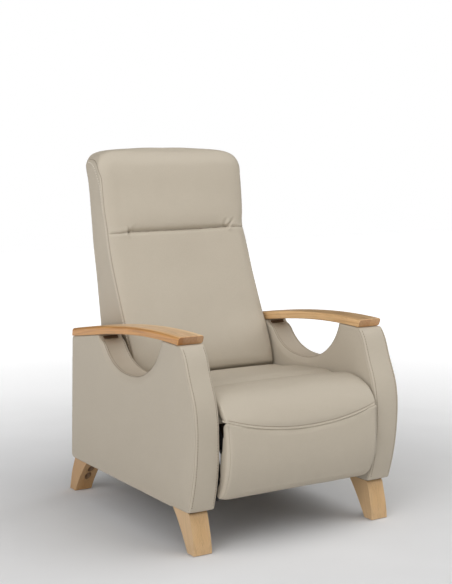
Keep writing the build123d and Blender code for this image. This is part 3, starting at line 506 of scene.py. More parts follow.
def leather_material(name="taupe_leather", dark=1.0):
    m, nt, b = material(name)
    tc = nt.nodes.new("ShaderNodeTexCoord").outputs["Object"]
    big = noise_tex(nt, tc, 5.0, 3.0, 0.55)
    mid = noise_tex(nt, tc, 42.0, 3.0, 0.6)
    base = tuple(c * dark for c in (0.473, 0.415, 0.329))
    light = tuple(c * dark for c in (0.503, 0.445, 0.355))
    c1 = mix_color(nt, math_node(nt, "MULTIPLY", big.outputs["Fac"], 1.0), base, light)
    # pebbled grain: cells with darker valleys between them
    v1 = nt.nodes.new("ShaderNodeTexVoronoi")
    v1.feature = "DISTANCE_TO_EDGE"
    v1.inputs["Scale"].default_value = 620.0
    v1.inputs["Randomness"].default_value = 0.95
    warp = noise_tex(nt, tc, 260.0, 2.0, 0.5)
    wv = nt.nodes.new("ShaderNodeVectorMath")
    wv.operation = "MULTIPLY_ADD"
    nt.links.new(warp.outputs["Color"], wv.inputs[0])
    wv.inputs[1].default_value = (0.0022, 0.0022, 0.0022)
    nt.links.new(tc, wv.inputs[2])
    nt.links.new(wv.outputs[0], v1.inputs["Vector"])
    cell = ramp(nt, v1.outputs["Distance"], [(0.0, (0, 0, 0)), (0.09, (0.62, 0.62, 0.62)), (0.32, (1, 1, 1))])
    fine = noise_tex(nt, tc, 1500.0, 2.0, 0.6)
    # a few long soft creases
    stretch = nt.nodes.new("ShaderNodeMapping")
    stretch.inputs["Scale"].default_value = (1.0, 2.4, 1.6)
    nt.links.new(tc, stretch.inputs["Vector"])
    crease = noise_tex(nt, stretch.outputs[0], 16.0, 4.0, 0.62, 0.6)
    valley = math_node(nt, "SUBTRACT", 1.0, cell)
    c2 = mix_color(nt, math_node(nt, "MULTIPLY", valley, 0.22), c1, tuple(c * 0.62 for c in base))
    c3 = mix_color(nt, math_node(nt, "MULTIPLY", mid.outputs["Fac"], 0.10), c2, tuple(min(1, c * 1.10) for c in light))
    speck = noise_tex(nt, tc, 330.0, 3.0, 0.65)
    mottle = ramp(nt, speck.outputs["Fac"], [(0.36, (0.972, 0.970, 0.968)), (0.5, (0.99, 0.99, 0.99)), (0.64, (1.01, 1.01, 1.01))])
    c3 = mix_color(nt, 1.0, c3, mottle, "MULTIPLY")
    # painted shade: the hollows, where the pointiness is low, are a little darker
    geo = nt.nodes.new("ShaderNodeNewGeometry")
    edge = ramp(nt, geo.outputs["Pointiness"], [(0.46, (0, 0, 0)), (0.50, (0.5, 0.5, 0.5)), (0.56, (1, 1, 1))])
    c4 = mix_color(nt, math_node(nt, "MULTIPLY", math_node(nt, "SUBTRACT", 0.5, edge, clamp=True), 0.5), c3, tuple(c * 0.72 for c in base))
    nt.links.new(c4, b.inputs["Base Color"])
    r = nt.nodes.new("ShaderNodeMapRange")
    nt.links.new(mid.outputs["Fac"], r.inputs["Value"])
    r.inputs["To Min"].default_value = 0.47
    r.inputs["To Max"].default_value = 0.60
    nt.links.new(math_node(nt, "ADD", r.outputs[0], math_node(nt, "MULTIPLY", valley, 0.12)), b.inputs["Roughness"])
    b.inputs["Specular IOR Level"].default_value = 0.42
    b.inputs["Coat Weight"].default_value = 0.04
    b.inputs["Coat Roughness"].default_value = 0.38
    b1 = nt.nodes.new("ShaderNodeBump")
    b1.inputs["Strength"].default_value = 0.42
    b1.inputs["Distance"].default_value = 0.00035
    nt.links.new(cell, b1.inputs["Height"])
    b2 = nt.nodes.new("ShaderNodeBump")
    b2.inputs["Strength"].default_value = 0.25
    b2.inputs["Distance"].default_value = 0.00012
    nt.links.new(fine.outputs["Fac"], b2.inputs["Height"])
    nt.links.new(b1.outputs[0], b2.inputs["Normal"])
    b3 = nt.nodes.new("ShaderNodeBump")
    b3.inputs["Strength"].default_value = 0.30
    b3.inputs["Distance"].default_value = 0.0022
    nt.links.new(crease.outputs["Fac"], b3.inputs["Height"])
    nt.links.new(b2.outputs[0], b3.inputs["Normal"])
    nt.links.new(b3.outputs[0], b.inputs["Normal"])
    return m


def beech_material(name, kind):
    """kind 'cap': grain along the arch, in glued strips. kind 'leg': grain up the leg with a V figure at the front."""
    m, nt, b = material(name)
    coord = nt.nodes.new("ShaderNodeTexCoord")
    tc = coord.outputs["Object"]
    sep = nt.nodes.new("ShaderNodeSeparateXYZ")
    nt.links.new(tc, sep.inputs[0])
    nsep = nt.nodes.new("ShaderNodeSeparateXYZ")
    nt.links.new(coord.outputs["Normal"], nsep.inputs[0])
    x = math_node(nt, "ABSOLUTE", sep.outputs[0])
    y, z = sep.outputs[1], sep.outputs[2]

    def triple(a, b_, c):
        q = nt.nodes.new("ShaderNodeCombineXYZ")
        for i, v in enumerate((a, b_, c)):
            nt.links.new(v, q.inputs[i])
        return q.outputs[0]

    if kind == "cap":
        # height over the arch, so that the fibres follow the curve
        arch = math_node(nt, "MULTIPLY", math_node(nt, "POWER", math_node(nt, "ADD", y, 0.26), 2.0), 0.155)
        h = math_node(nt, "ADD", z, arch)
        # strips side by side, about 20 mm wide, each from another board
        count = math_node(nt, "DIVIDE", math_node(nt, "SUBTRACT", x, 0.2868), 0.0201)
        strip = math_node(nt, "FLOOR", count)
        side_id = math_node(nt, "MULTIPLY", math_node(nt, "GREATER_THAN", sep.outputs[0], 0.0), 7.3)
        key = math_node(nt, "SINE", math_node(nt, "MULTIPLY", math_node(nt, "ADD", strip, side_id), 12.9898))
        tone = math_node(nt, "FRACT", math_node(nt, "MULTIPLY", math_node(nt, "ABSOLUTE", key), 43.7585))
        glue = math_node(nt, "GREATER_THAN", math_node(nt, "ABSOLUTE", math_node(nt, "SUBTRACT", math_node(nt, "FRACT", count), 0.5)), 0.478)
        across = math_node(nt, "ADD", x, math_node(nt, "MULTIPLY", tone, 0.9))
        tall = math_node(nt, "ADD", h, math_node(nt, "MULTIPLY", tone, 0.37))
        long_ = math_node(nt, "ADD", y, math_node(nt, "MULTIPLY", tone, 1.7))
        grain_vec = triple(across, math_node(nt, "MULTIPLY", long_, 0.045), tall)
        fibre_vec = triple(across, math_node(nt, "MULTIPLY", long_, 0.02), tall)
        end = math_node(nt, "ABSOLUTE", nsep.outputs[1])
    else:
        side = math_node(nt, "ABSOLUTE", y)
        lean = math_node(nt, "MULTIPLY", math_node(nt, "POWER", math_node(nt, "SUBTRACT", 0.125, z), 2.0), 1.9)
        depth = math_node(nt, "SUBTRACT", side, lean)
        off = math_node(nt, "ABSOLUTE", math_node(nt, "SUBTRACT", x, 0.32555))
        # rings lean up towards the leg's middle line: they meet as a V on the front face
        vee = math_node(nt, "ADD", math_node(nt, "MULTIPLY", off, 1.25), math_node(nt, "MULTIPLY", z, -0.46))
        front_vec = triple(math_node(nt, "ADD", vee, math_node(nt, "MULTIPLY", depth, 0.35)), math_node(nt, "MULTIPLY", z, 0.05), math_node(nt, "MULTIPLY", depth, 0.8))
        # on the sides the fibres run down the leg
        side_vec = triple(math_node(nt, "MULTIPLY", depth, 0.8), math_node(nt, "MULTIPLY", z, 0.05), math_node(nt, "MULTIPLY", x, 0.5))
        turn = nt.nodes.new("ShaderNodeMix")
        turn.data_type = "VECTOR"
        nt.links.new(math_node(nt, "GREATER_THAN", math_node(nt, "ABSOLUTE", nsep.outputs[0]), 0.7), turn.inputs[0])
        nt.links.new(front_vec, turn.inputs[4])
        nt.links.new(side_vec, turn.inputs[5])
        grain_vec = turn.outputs[1]
        fibre_vec = triple(x, math_node(nt, "MULTIPLY", z, 0.02), depth)
        glue = math_node(nt, "LESS_THAN", off, 0.00035)
        tone = math_node(nt, "GREATER_THAN", sep.outputs[0], 0.0)
        end = math_node(nt, "ABSOLUTE", nsep.outputs[2])
    soft = noise_tex(nt, grain_vec, 30.0, 3.0, 0.5, 0.5)
    w = nt.nodes.new("ShaderNodeTexWave")
    w.wave_type = "BANDS"
    w.bands_direction = "X" if kind == "leg" else "DIAGONAL"
    w.inputs["Scale"].default_value = 38.0 if kind == "cap" else 52.0
    w.inputs["Distortion"].default_value = 4.2 if kind == "cap" else 1.5
    w.inputs["Detail"].default_value = 3.0
    w.inputs["Detail Scale"].default_value = 1.5
    w.inputs["Detail Roughness"].default_value = 0.6
    nt.links.new(grain_vec, w.inputs["Vector"])
    fibre = noise_tex(nt, fibre_vec, 900.0, 2.0, 0.6)
    fleck = noise_tex(nt, fibre_vec, 420.0, 1.0, 0.5)
    streak = noise_tex(nt, grain_vec, 75.0, 2.0, 0.55, 0.3)
    if kind == "cap":
        dark, mid_c, light = (0.37, 0.195, 0.078), (0.53, 0.318, 0.145), (0.64, 0.425, 0.222)
    else:
        dark, mid_c, light = (0.41, 0.265, 0.135), (0.49, 0.330, 0.175), (0.56, 0.392, 0.220)
    base = ramp(nt, w.outputs["Fac"], [(0.0, dark), (0.22, mid_c), (0.70, light), (1.0, mid_c)])
    c = mix_color(nt, 0.45, base, ramp(nt, soft.outputs["Fac"], [(0.25, mid_c), (0.75, light)]))
    band = ramp(nt, streak.outputs["Fac"], [(0.50, (0, 0, 0)), (0.66, (1, 1, 1))])
    c = mix_color(nt, math_node(nt, "MULTIPLY", band, 0.45), c, tuple(v * 0.86 for v in dark))
    lines = ramp(nt, fleck.outputs["Fac"], [(0.56, (0, 0, 0)), (0.70, (1, 1, 1))])
    c = mix_color(nt, math_node(nt, "MULTIPLY", lines, 0.32 if kind == "cap" else 0.20), c, tuple(v * 0.62 for v in dark))
    c = mix_color(nt, math_node(nt, "MULTIPLY", fibre.outputs["Fac"], 0.16), c, tuple(v * 0.7 for v in dark))
    if kind == "cap":
        c = mix_color(nt, math_node(nt, "MULTIPLY", tone, 0.40), c, (0.50, 0.265, 0.105))
        c = mix_color(nt, math_node(nt, "MULTIPLY", math_node(nt, "LESS_THAN", tone, 0.3), 0.34), c, (0.70, 0.49, 0.26))
        # the -X cap's outer strip turns darker and browner, most on its upright side faces: a darker strip of wood,
        # with painted shade on those side faces
        other = math_node(nt, "LESS_THAN", sep.outputs[0], 0.0)
        rim = math_node(nt, "MULTIPLY", other, math_node(nt, "GREATER_THAN", count, 3.25))
        rim = math_node(nt, "MULTIPLY", rim, ramp(nt, math_node(nt, "ABSOLUTE", nsep.outputs[2]), [(0.50, (1, 1, 1)), (0.82, (0.15, 0.15, 0.15))]))
        c = mix_color(nt, 1.0, c, (1.26, 1.27, 1.25), "MULTIPLY")
        c = mix_color(nt, rim, c, mix_color(nt, 1.0, c, (0.82, 0.64, 0.40), "MULTIPLY"))
        own = math_node(nt, "MULTIPLY", math_node(nt, "SUBTRACT", 1.0, other), math_node(nt, "LESS_THAN", count, 1.0))
        c = mix_color(nt, own, c, mix_color(nt, 1.0, c, (1.01, 1.05, 1.08), "MULTIPLY"))
        # a few dark clouds and mineral streaks along the edge
        cloud = noise_tex(nt, triple(across, math_node(nt, "MULTIPLY", long_, 0.22), math_node(nt, "MULTIPLY", tall, 1.3)), 26.0, 3.0, 0.6, 0.8)
        spot = ramp(nt, cloud.outputs["Fac"], [(0.56, (0, 0, 0)), (0.68, (1, 1, 1))])
        c = mix_color(nt, math_node(nt, "MULTIPLY", spot, 0.42), c, tuple(v * 0.78 for v in dark))
    else:
        rear_leg = math_node(nt, "GREATER_THAN", y, 0.0)
        c = mix_color(nt, 1.0, c, (1.22, 1.16, 1.06), "MULTIPLY")
        # the rear legs turn darker and browner: a darker wood tone, with painted shade for the chair's shadow they
        # stand in
        c = mix_color(nt, rear_leg, c, mix_color(nt, 1.0, c, (0.72, 0.59, 0.40), "MULTIPLY"))
    c = mix_color(nt, math_node(nt, "MULTIPLY", glue, 0.50), c, tuple(v * 0.55 for v in dark))
    # end grain drinks the finish and darkens
    cut = ramp(nt, end, [(0.72, (0, 0, 0)), (0.92, (1, 1, 1))])
    pores = noise_tex(nt, tc, 1100.0, 2.0, 0.6)
    end_c = mix_color(nt, math_node(nt, "MULTIPLY", pores.outputs["Fac"], 0.5), (0.25, 0.110, 0.036), (0.36, 0.175, 0.062))
    if kind == "cap":
        end_c = mix_color(nt, math_node(nt, "MULTIPLY", tone, 0.8), end_c, mix_color(nt, 1.0, end_c, (0.66, 0.60, 0.54), "MULTIPLY"))
        # one cap's end is lighter wood than the other's
        end_c = mix_color(nt, other, mix_color(nt, 1.0, end_c, (1.62, 1.60, 1.44), "MULTIPLY"), mix_color(nt, 1.0, end_c, (0.96, 0.72, 0.40), "MULTIPLY"))
    c = mix_color(nt, math_node(nt, "MULTIPLY", cut, 0.62), c, end_c)
    geo = nt.nodes.new("ShaderNodeNewGeometry")
    rub = ramp(nt, geo.outputs["Pointiness"], [(0.50, (0, 0, 0)), (0.60, (1, 1, 1))])
    c = mix_color(nt, math_node(nt, "MULTIPLY", rub, 0.25), c, (0.66, 0.48, 0.30))
    if kind == "leg":
        # painted shade: the inside of the bored bolt holes is painted near-black
        dx = math_node(nt, "POWER", math_node(nt, "ABSOLUTE", math_node(nt, "SUBTRACT", x, 0.32555)), 2.0)
        masks = []
        for hy in (-0.338, -0.312, 0.3355, 0.361):
            dy = math_node(nt, "POWER", math_node(nt, "ABSOLUTE", math_node(nt, "SUBTRACT", y, hy)), 2.0)
            masks.append(math_node(nt, "LESS_THAN", math_node(nt, "ADD", dx, dy), 0.0113 ** 2))
        bored = math_node(nt, "MAXIMUM", math_node(nt, "MAXIMUM", masks[0], masks[1]), math_node(nt, "MAXIMUM", masks[2], masks[3]))
        bored = math_node(nt, "MULTIPLY", bored, math_node(nt, "LESS_THAN", z, 0.105))
        c = mix_color(nt, math_node(nt, "MULTIPLY", bored, 0.8), c, mix_color(nt, pores.outputs["Fac"], (0.075, 0.040, 0.018), (0.15, 0.085, 0.042)))
    nt.links.new(c, b.inputs["Base Color"])
    mr = nt.nodes.new("ShaderNodeMapRange")
    nt.links.new(soft.outputs["Fac"], mr.inputs["Value"])
    mr.inputs["To Min"].default_value = 0.32
    mr.inputs["To Max"].default_value = 0.46
    nt.links.new(mr.outputs[0], b.inputs["Roughness"])
    b.inputs["Coat Weight"].default_value = 0.5
    b.inputs["Coat Roughness"].default_value = 0.17
    # a cap's rim strip and the rear legs are finished flatter than the rest
    flatter = rim if kind == "cap" else rear_leg
    nt.links.new(math_node(nt, "SUBTRACT", 0.5, math_node(nt, "MULTIPLY", flatter, 0.42)), b.inputs["Coat Weight"])
    bp = nt.nodes.new("ShaderNodeBump")
    bp.inputs["Strength"].default_value = 0.22
    bp.inputs["Distance"].default_value = 0.0003
    nt.links.new(math_node(nt, "ADD", fibre.outputs["Fac"], math_node(nt, "MULTIPLY", lines, -0.8)), bp.inputs["Height"])
    nt.links.new(bp.outputs[0], b.inputs["Normal"])
    return m


def timber_material(name="frame_timber", tint=(1.0, 1.0, 1.0)):
    m, nt, b = material(name)
    tc = nt.nodes.new("ShaderNodeTexCoord").outputs["Object"]
    mp = nt.nodes.new("ShaderNodeMapping")
    mp.inputs["Scale"].default_value = (0.12, 1.0, 1.0)
    nt.links.new(tc, mp.inputs["Vector"])
    w = noise_tex(nt, mp.outputs[0], 60.0, 4.0, 0.6, 0.8)
    f = noise_tex(nt, mp.outputs[0], 700.0, 2.0, 0.6)
    c = ramp(nt, w.outputs["Fac"], [(0.25, (0.36, 0.24, 0.13)), (0.55, (0.50, 0.36, 0.21)), (0.8, (0.60, 0.45, 0.28))])
    c = mix_color(nt, math_node(nt, "MULTIPLY", f.outputs["Fac"], 0.25), c, (0.28, 0.18, 0.10))
    c = mix_color(nt, 1.0, c, tint, "MULTIPLY")
    nt.links.new(c, b.inputs["Base Color"])
    b.inputs["Roughness"].default_value = 0.72
    bp = nt.nodes.new("ShaderNodeBump")
    bp.inputs["Strength"].default_value = 0.35
    bp.inputs["Distance"].default_value = 0.0004
    nt.links.new(f.outputs["Fac"], bp.inputs["Height"])
    nt.links.new(bp.outputs[0], b.inputs["Normal"])
    return m


def steel_material(name, color, metal, rough, scale=220.0):
    m, nt, b = material(name)
    tc = nt.nodes.new("ShaderNodeTexCoord").outputs["Object"]
    n1 = noise_tex(nt, tc, scale, 3.0, 0.6)
    n2 = noise_tex(nt, tc, 30.0, 3.0, 0.6)
    geo = nt.nodes.new("ShaderNodeNewGeometry")
    rub = ramp(nt, geo.outputs["Pointiness"], [(0.52, (0, 0, 0)), (0.62, (1, 1, 1))])
    c = mix_color(nt, math_node(nt, "MULTIPLY", n2.outputs["Fac"], 0.3), color, tuple(v * 0.7 for v in color))
    c = mix_color(nt, math_node(nt, "MULTIPLY", rub, 0.35), c, tuple(min(1.0, v * 1.8 + 0.06) for v in color))
    nt.links.new(c, b.inputs["Base Color"])
    b.inputs["Metallic"].default_value = metal
    mr = nt.nodes.new("ShaderNodeMapRange")
    nt.links.new(n1.outputs["Fac"], mr.inputs["Value"])
    mr.inputs["To Min"].default_value = rough - 0.06
    mr.inputs["To Max"].default_value = rough + 0.10
    nt.links.new(mr.outputs[0], b.inputs["Roughness"])
    bp = nt.nodes.new("ShaderNodeBump")
    bp.inputs["Strength"].default_value = 0.15
    bp.inputs["Distance"].default_value = 0.0002
    nt.links.new(n1.outputs["Fac"], bp.inputs["Height"])
    nt.links.new(bp.outputs[0], b.inputs["Normal"])
    return m


def thread_material(name="sewing_thread", low=(0.30, 0.235, 0.165), high=(0.42, 0.345, 0.26)):
    m, nt, b = material(name)
    tc = nt.nodes.new("ShaderNodeTexCoord").outputs["Object"]
    n1 = noise_tex(nt, tc, 2400.0, 2.0, 0.6)
    c = ramp(nt, n1.outputs["Fac"], [(0.3, low), (0.7, high)])
    nt.links.new(c, b.inputs["Base Color"])
    b.inputs["Roughness"].default_value = 0.62
    b.inputs["Sheen Weight"].default_value = 0.2
    bp = nt.nodes.new("ShaderNodeBump")
    bp.inputs["Strength"].default_value = 0.4
    bp.inputs["Distance"].default_value = 0.0002
    nt.links.new(n1.outputs["Fac"], bp.inputs["Height"])
    nt.links.new(bp.outputs[0], b.inputs["Normal"])
    return m


# painted shade: dark colours for the cords that stand for the shade where two leather edges meet
def seam_shade_material(name="dark_seam_shade_colour", low=(0.135, 0.105, 0.075), high=(0.24, 0.19, 0.14)):
    m, nt, b = material(name)
    tc = nt.nodes.new("ShaderNodeTexCoord").outputs["Object"]
    n1 = noise_tex(nt, tc, 300.0, 3.0, 0.6)
    c = ramp(nt, n1.outputs["Fac"], [(0.35, low), (0.7, high)])
    nt.links.new(c, b.inputs["Base Color"])
    b.inputs["Roughness"].default_value = 0.75
    bp = nt.nodes.new("ShaderNodeBump")
    bp.inputs["Strength"].default_value = 0.4
    bp.inputs["Distance"].default_value = 0.0003
    nt.links.new(n1.outputs["Fac"], bp.inputs["Height"])
    nt.links.new(bp.outputs[0], b.inputs["Normal"])
    return m


# black dust cloth; where it wraps the front seat rail it is painted shade for the gap beside the footrest
def dust_cloth_and_shade_material():
    m, nt, b = material("black_dust_cloth_and_shade")
    tc = nt.nodes.new("ShaderNodeTexCoord").outputs["Object"]
    n1 = noise_tex(nt, tc, 900.0, 3.0, 0.7)
    n2 = noise_tex(nt, tc, 12.0, 2.0, 0.5)
    c = ramp(nt, n1.outputs["Fac"], [(0.3, (0.012, 0.012, 0.013)), (0.7, (0.045, 0.043, 0.042))])
    c = mix_color(nt, math_node(nt, "MULTIPLY", n2.outputs["Fac"], 0.3), c, (0.06, 0.055, 0.05))
    nt.links.new(c, b.inputs["Base Color"])
    b.inputs["Roughness"].default_value = 0.92
    bp = nt.nodes.new("ShaderNodeBump")
    bp.inputs["Strength"].default_value = 0.5
    bp.inputs["Distance"].default_value = 0.0004
    nt.links.new(n1.outputs["Fac"], bp.inputs["Height"])
    nt.links.new(bp.outputs[0], b.inputs["Normal"])
    return m


def webbing_material():
    m, nt, b = material("elastic_webbing")
    tc = nt.nodes.new("ShaderNodeTexCoord").outputs["Object"]
    w = nt.nodes.new("ShaderNodeTexWave")
    w.bands_direction = "Z"
    w.inputs["Scale"].default_value = 110.0
    w.inputs["Distortion"].default_value = 0.6
    nt.links.new(tc, w.inputs["Vector"])
    n1 = noise_tex(nt, tc, 900.0, 2.0, 0.6)
    c = ramp(nt, w.outputs["Fac"], [(0.2, (0.05, 0.045, 0.04)), (0.8, (0.13, 0.115, 0.095))])
    c = mix_color(nt, math_node(nt, "MULTIPLY", n1.outputs["Fac"], 0.3), c, (0.2, 0.18, 0.15))
    nt.links.new(c, b.inputs["Base Color"])
    b.inputs["Roughness"].default_value = 0.85
    bp = nt.nodes.new("ShaderNodeBump")
    bp.inputs["Strength"].default_value = 0.5
    bp.inputs["Distance"].default_value = 0.0006
    nt.links.new(w.outputs["Fac"], bp.inputs["Height"])
    nt.links.new(bp.outputs[0], b.inputs["Normal"])
    return m


LEATHER = leather_material()
BEECH_CAP = beech_material("beech_cap", "cap")
BEECH_LEG = beech_material("beech_leg", "leg")
TIMBER = timber_material()
# dark timber for the arm cores and seat rails, which show only in gaps and under the caps: painted shade
DARK_TIMBER_SHADE = timber_material("dark_timber_shade", (0.20, 0.155, 0.13))
BLACK = steel_material("black_steel", (0.022, 0.022, 0.024), 0.25, 0.42)
ZINC = steel_material("zinc_steel", (0.50, 0.50, 0.51), 1.0, 0.34)
NYLON = steel_material("nylon", (0.028, 0.028, 0.028), 0.0, 0.52, 500.0)
THREAD = thread_material()
PALE_THREAD = thread_material("pale_thread", (0.66, 0.60, 0.51), (0.80, 0.74, 0.64))
# painted shade: the needle holes are painted near-black
HOLE_SHADE = thread_material("needle_hole_shade", (0.040, 0.022, 0.012), (0.085, 0.05, 0.028))
# painted shade: the seam cords' dark colours stand for the shade between two leather edges
SEAM = seam_shade_material()
SOFT_SEAM = seam_shade_material("soft_seam_shade_colour", (0.235, 0.19, 0.145), (0.33, 0.275, 0.215))
EDGE_SEAM = seam_shade_material("back_edge_seam_shade_colour", (0.17, 0.13, 0.095), (0.27, 0.215, 0.16))
DUST_CLOTH_AND_SHADE = dust_cloth_and_shade_material()
WEB = webbing_material()
BY_SLOT = {"leather": LEATHER, "beech": BEECH_LEG, "frame_timber": TIMBER, "black_steel": BLACK, "zinc_steel": ZINC, "nylon": NYLON, "webbing": WEB}


def dress(o, mat):
    o.data.materials.clear()
    o.data.materials.append(mat)
    return o


for s in frame["record"]["subparts"]:
    o = N[s["node"]]
    mat = BY_SLOT[s["material_slot"]]
    if s["node"].startswith("arm_cap"):
        mat = BEECH_CAP
    # arm cores and seat rails: dark timber as painted shade where they show through gaps
    elif s["node"].startswith(("arm_core", "seat_rail_")) and s["node"] != "seat_rail_front":
        mat = DARK_TIMBER_SHADE
    # the footrest board's back gets black dust cloth; the front seat rail gets the same black cloth as painted shade in
    # the gap beside the footrest
    elif s["node"] in ("footrest_board", "seat_rail_front"):
        mat = DUST_CLOTH_AND_SHADE
    if not o.data.materials:
        o.data.materials.append(mat)
    for k in range(len(o.material_slots)):
        o.material_slots[k].material = mat

# ------------------------------------------------------------------ arms
front = spline(ARM_FRONT, 4.0)
under = spline(CAP_UNDER, 4.0)
ucut = spline(U_CUT, 4.0)
bottom = np.array([(-387, 128.6), (-377, 126.6), (-296, 126.6), (-284, 122.8), (381, 122.6), (391, 124.5), (397.4, 131)])
rear_edge = np.stack([np.linspace(398.3, 380, 60), np.linspace(137, 538, 60)], 1)
top_rear = under[under[:, 0] > 187]
hollow_line = spline([(184, 570.2), (181, 564.5), (172, 558.5), (158, 553.5), (146, 545.5)], 3.0)
top_front = under[under[:, 0] < ucut[-1][0] - 3]
ARM_OUTLINE = np.vstack([front, bottom, rear_edge, top_rear - [0, 0.4], hollow_line, ucut[ucut[:, 1] < 541], ucut[(ucut[:, 1] >= 541) & (ucut[:, 0] < 0)], top_front - [0, 0.4]])
MID = (ARM_IN + ARM_OUT) / 2


def arm_front_shift(x, z):
    """The front strip slants: the inner edge stands 10 mm behind the outer one, and level with it low down."""
    back = np.interp(z, [120, 175, 215, 291, 330, 400, 440, 520], [-3.0, -2.5, 0.0, 4.8, 8.6, 10.8, 12.0, 10.0])
    return (ARM_OUT - x) / (ARM_OUT - ARM_IN) * back


def arm_round(o, r=6.0):
    """Puts every vertex back on the outline's prism with edges rounded to r."""
    co = coords(o)
    d2, g2 = signed_distance(co[:, 1:], ARM_OUTLINE)
    sx = np.sign(co[:, 0] - MID)
    dx = np.abs(co[:, 0] - MID) - ((ARM_OUT - ARM_IN) / 2 - 0.4)
    qa, qb = d2 + r, dx + r
    hyp = np.maximum(np.hypot(np.maximum(qa, 0), np.maximum(qb, 0)), 1e-6)
    corner = (qa > 0) & (qb > 0)
    dist = np.where(corner, hyp - r, np.maximum(qa, qb) - r)
    ga = np.where(corner, qa / hyp, (qa >= qb) * 1.0)
    gb = np.where(corner, qb / hyp, (qa < qb) * 1.0)
    dist = np.clip(dist, -12, 12)
    co[:, 0] -= dist * gb * sx
    co[:, 1:] -= (dist * ga)[:, None] * g2
    set_coords(o, co)


def build_arm(name):
    o = prism(name, ARM_OUTLINE, ARM_IN + 0.4, ARM_OUT - 0.4)
    voxel(o, 4.4)
    relax(o, 5)
    arm_round(o)
    relax(o, 2, factor=0.4)
    arm_round(o)
    relax(o, 1, factor=0.25)
    co = coords(o)
    x = co[:, 0].copy()
    side = np.sign(x - MID)
    ring = np.vstack([front, bottom, rear_edge, under[::3]])
    d = seg_dist(co[:, 1:], ring[::3])
    du = seg_dist(co[:, 1:], ucut[::3])
    # the front strip slants and the panels swell a little between their seams
    co[:, 1] += arm_front_shift(x, co[:, 2]) * smooth01((-250 - co[:, 1]) / 150.0)
    face = smooth01((np.abs(x - MID) - 34) / 8)
    out = 2.6 * smooth01((d - 4) / 70.0) * smooth01(du / 60.0)
    rim = -4.2 * (1 - smooth01(du / 24.0))
    hollow = -0.8 * bump(d - 13, 8.0)
    co[:, 0] += side * face * (out + rim + hollow + 0.7 * wave(co, 150.0, 3) * smooth01(d / 40))
    strip = smooth01((-co[:, 1] - 335) / 12.0) * (1 - face)
    co[:, 1] -= strip * 1.6 * (1 - ((x - MID) / 44.3) ** 2)
    set_coords(o, co)
    subdivide(o, 1)
    co = coords(o)
    no = normals(o)
    # seams: along both edges of the front strip and both rims of the cut-out
    for line, depth, width in arm_seams():
        d = seg_dist(co, line[::2])
        co -= no * (depth * bump(d, width) - 0.35 * bump(d - 4.5, 2.0))[:, None]
    co += no * (0.30 * wave(co, 34.0, 11) * smooth01((215 - co[:, 2]) / 110.0) + 0.12 * wave(co, 21.0, 12))[:, None]
    set_coords(o, co)
    return smooth_shade(o)


def arm_seams():
    out = []
    for x0 in (ARM_OUT - 0.9, ARM_IN + 0.9):
        line = np.c_[np.full(len(front), x0), front]
        line[:, 1] += arm_front_shift(line[:, 0], line[:, 2]) + 3.6
        out.append((line, 1.5, 1.7))
    for x0 in (ARM_OUT - 5.4, ARM_IN + 5.4):
        line = np.c_[np.full(len(ucut), x0), ucut + [0, 0.4]]
        out.append((line, 1.2, 1.7))
    return out


arm_l = build_arm("arm_leather_left")
tree = bvh(arm_l)
seams, rims, runs = [], [], []
for k, (line, depth, width) in enumerate(arm_seams()):
    pts, nor = lay_on(tree, line[1:-1])
    (seams if k < 2 else rims).append(seam_shade_cord(pts, nor, 0.65 if k < 2 else 0.8, sink=0.3))
# top stitches on the front strip and on the lining of the cut-out
for x0 in (ARM_OUT - 9.2, ARM_IN + 9.2):
    c = front[2:-2]
    pts = np.c_[np.full(len(c), x0), c]
    pts[:, 1] += arm_front_shift(pts[:, 0], pts[:, 2])
    runs.append(lay_on(tree, pts))
for x0 in (ARM_OUT - 12.6, ARM_IN + 12.6):
    c = ucut[2:-2]
    runs.append(lay_on(tree, np.c_[np.full(len(c), x0), c]))
stitch_l = stitches("arm_stitches_left", runs, radius=0.8, hole=1.7)
seam_l = join_parts("arm_seam_shade_cords_left", seams)
rim_l = join_parts("arm_cutout_seam_shade_cords_left", rims)
arm_r = mirrored(arm_l, "arm_leather_right")
stitch_r = mirrored(stitch_l, "arm_stitches_right")
seam_r = mirrored(seam_l, "arm_seam_shade_cords_right")
rim_r = mirrored(rim_l, "arm_cutout_seam_shade_cords_right")
for o in (arm_l, arm_r):
    dress(o, LEATHER)
for o in (stitch_l, stitch_r):
    sewn(o, THREAD)
for o in (seam_l, seam_r):
    dress(o, SOFT_SEAM)
for o in (rim_l, rim_r):
    dress(o, SEAM)

# ------------------------------------------------------------------ seat: pad and front roll in one cover
SEAT_C, SEAT_H = 1.5, 273.5         # the cover sits a little towards +X


def smile_z(x):
    return 348.0 + 923.0 - np.sqrt(923.0 ** 2 - (np.asarray(x, float) - 12.0) ** 2)


top_line = spline([(108, 410), (96, 425), (60, 431), (0, 440), (-100, 452), (-170, 458.5), (-214, 458), (-243, 453.5), (-268, 458),
                   (-312, 466.5), (-352, 463), (-383, 451.5), (-410, 430), (-431, 405), (-443.5, 378), (-449, 350), (-449.5, 334)], 3.0)


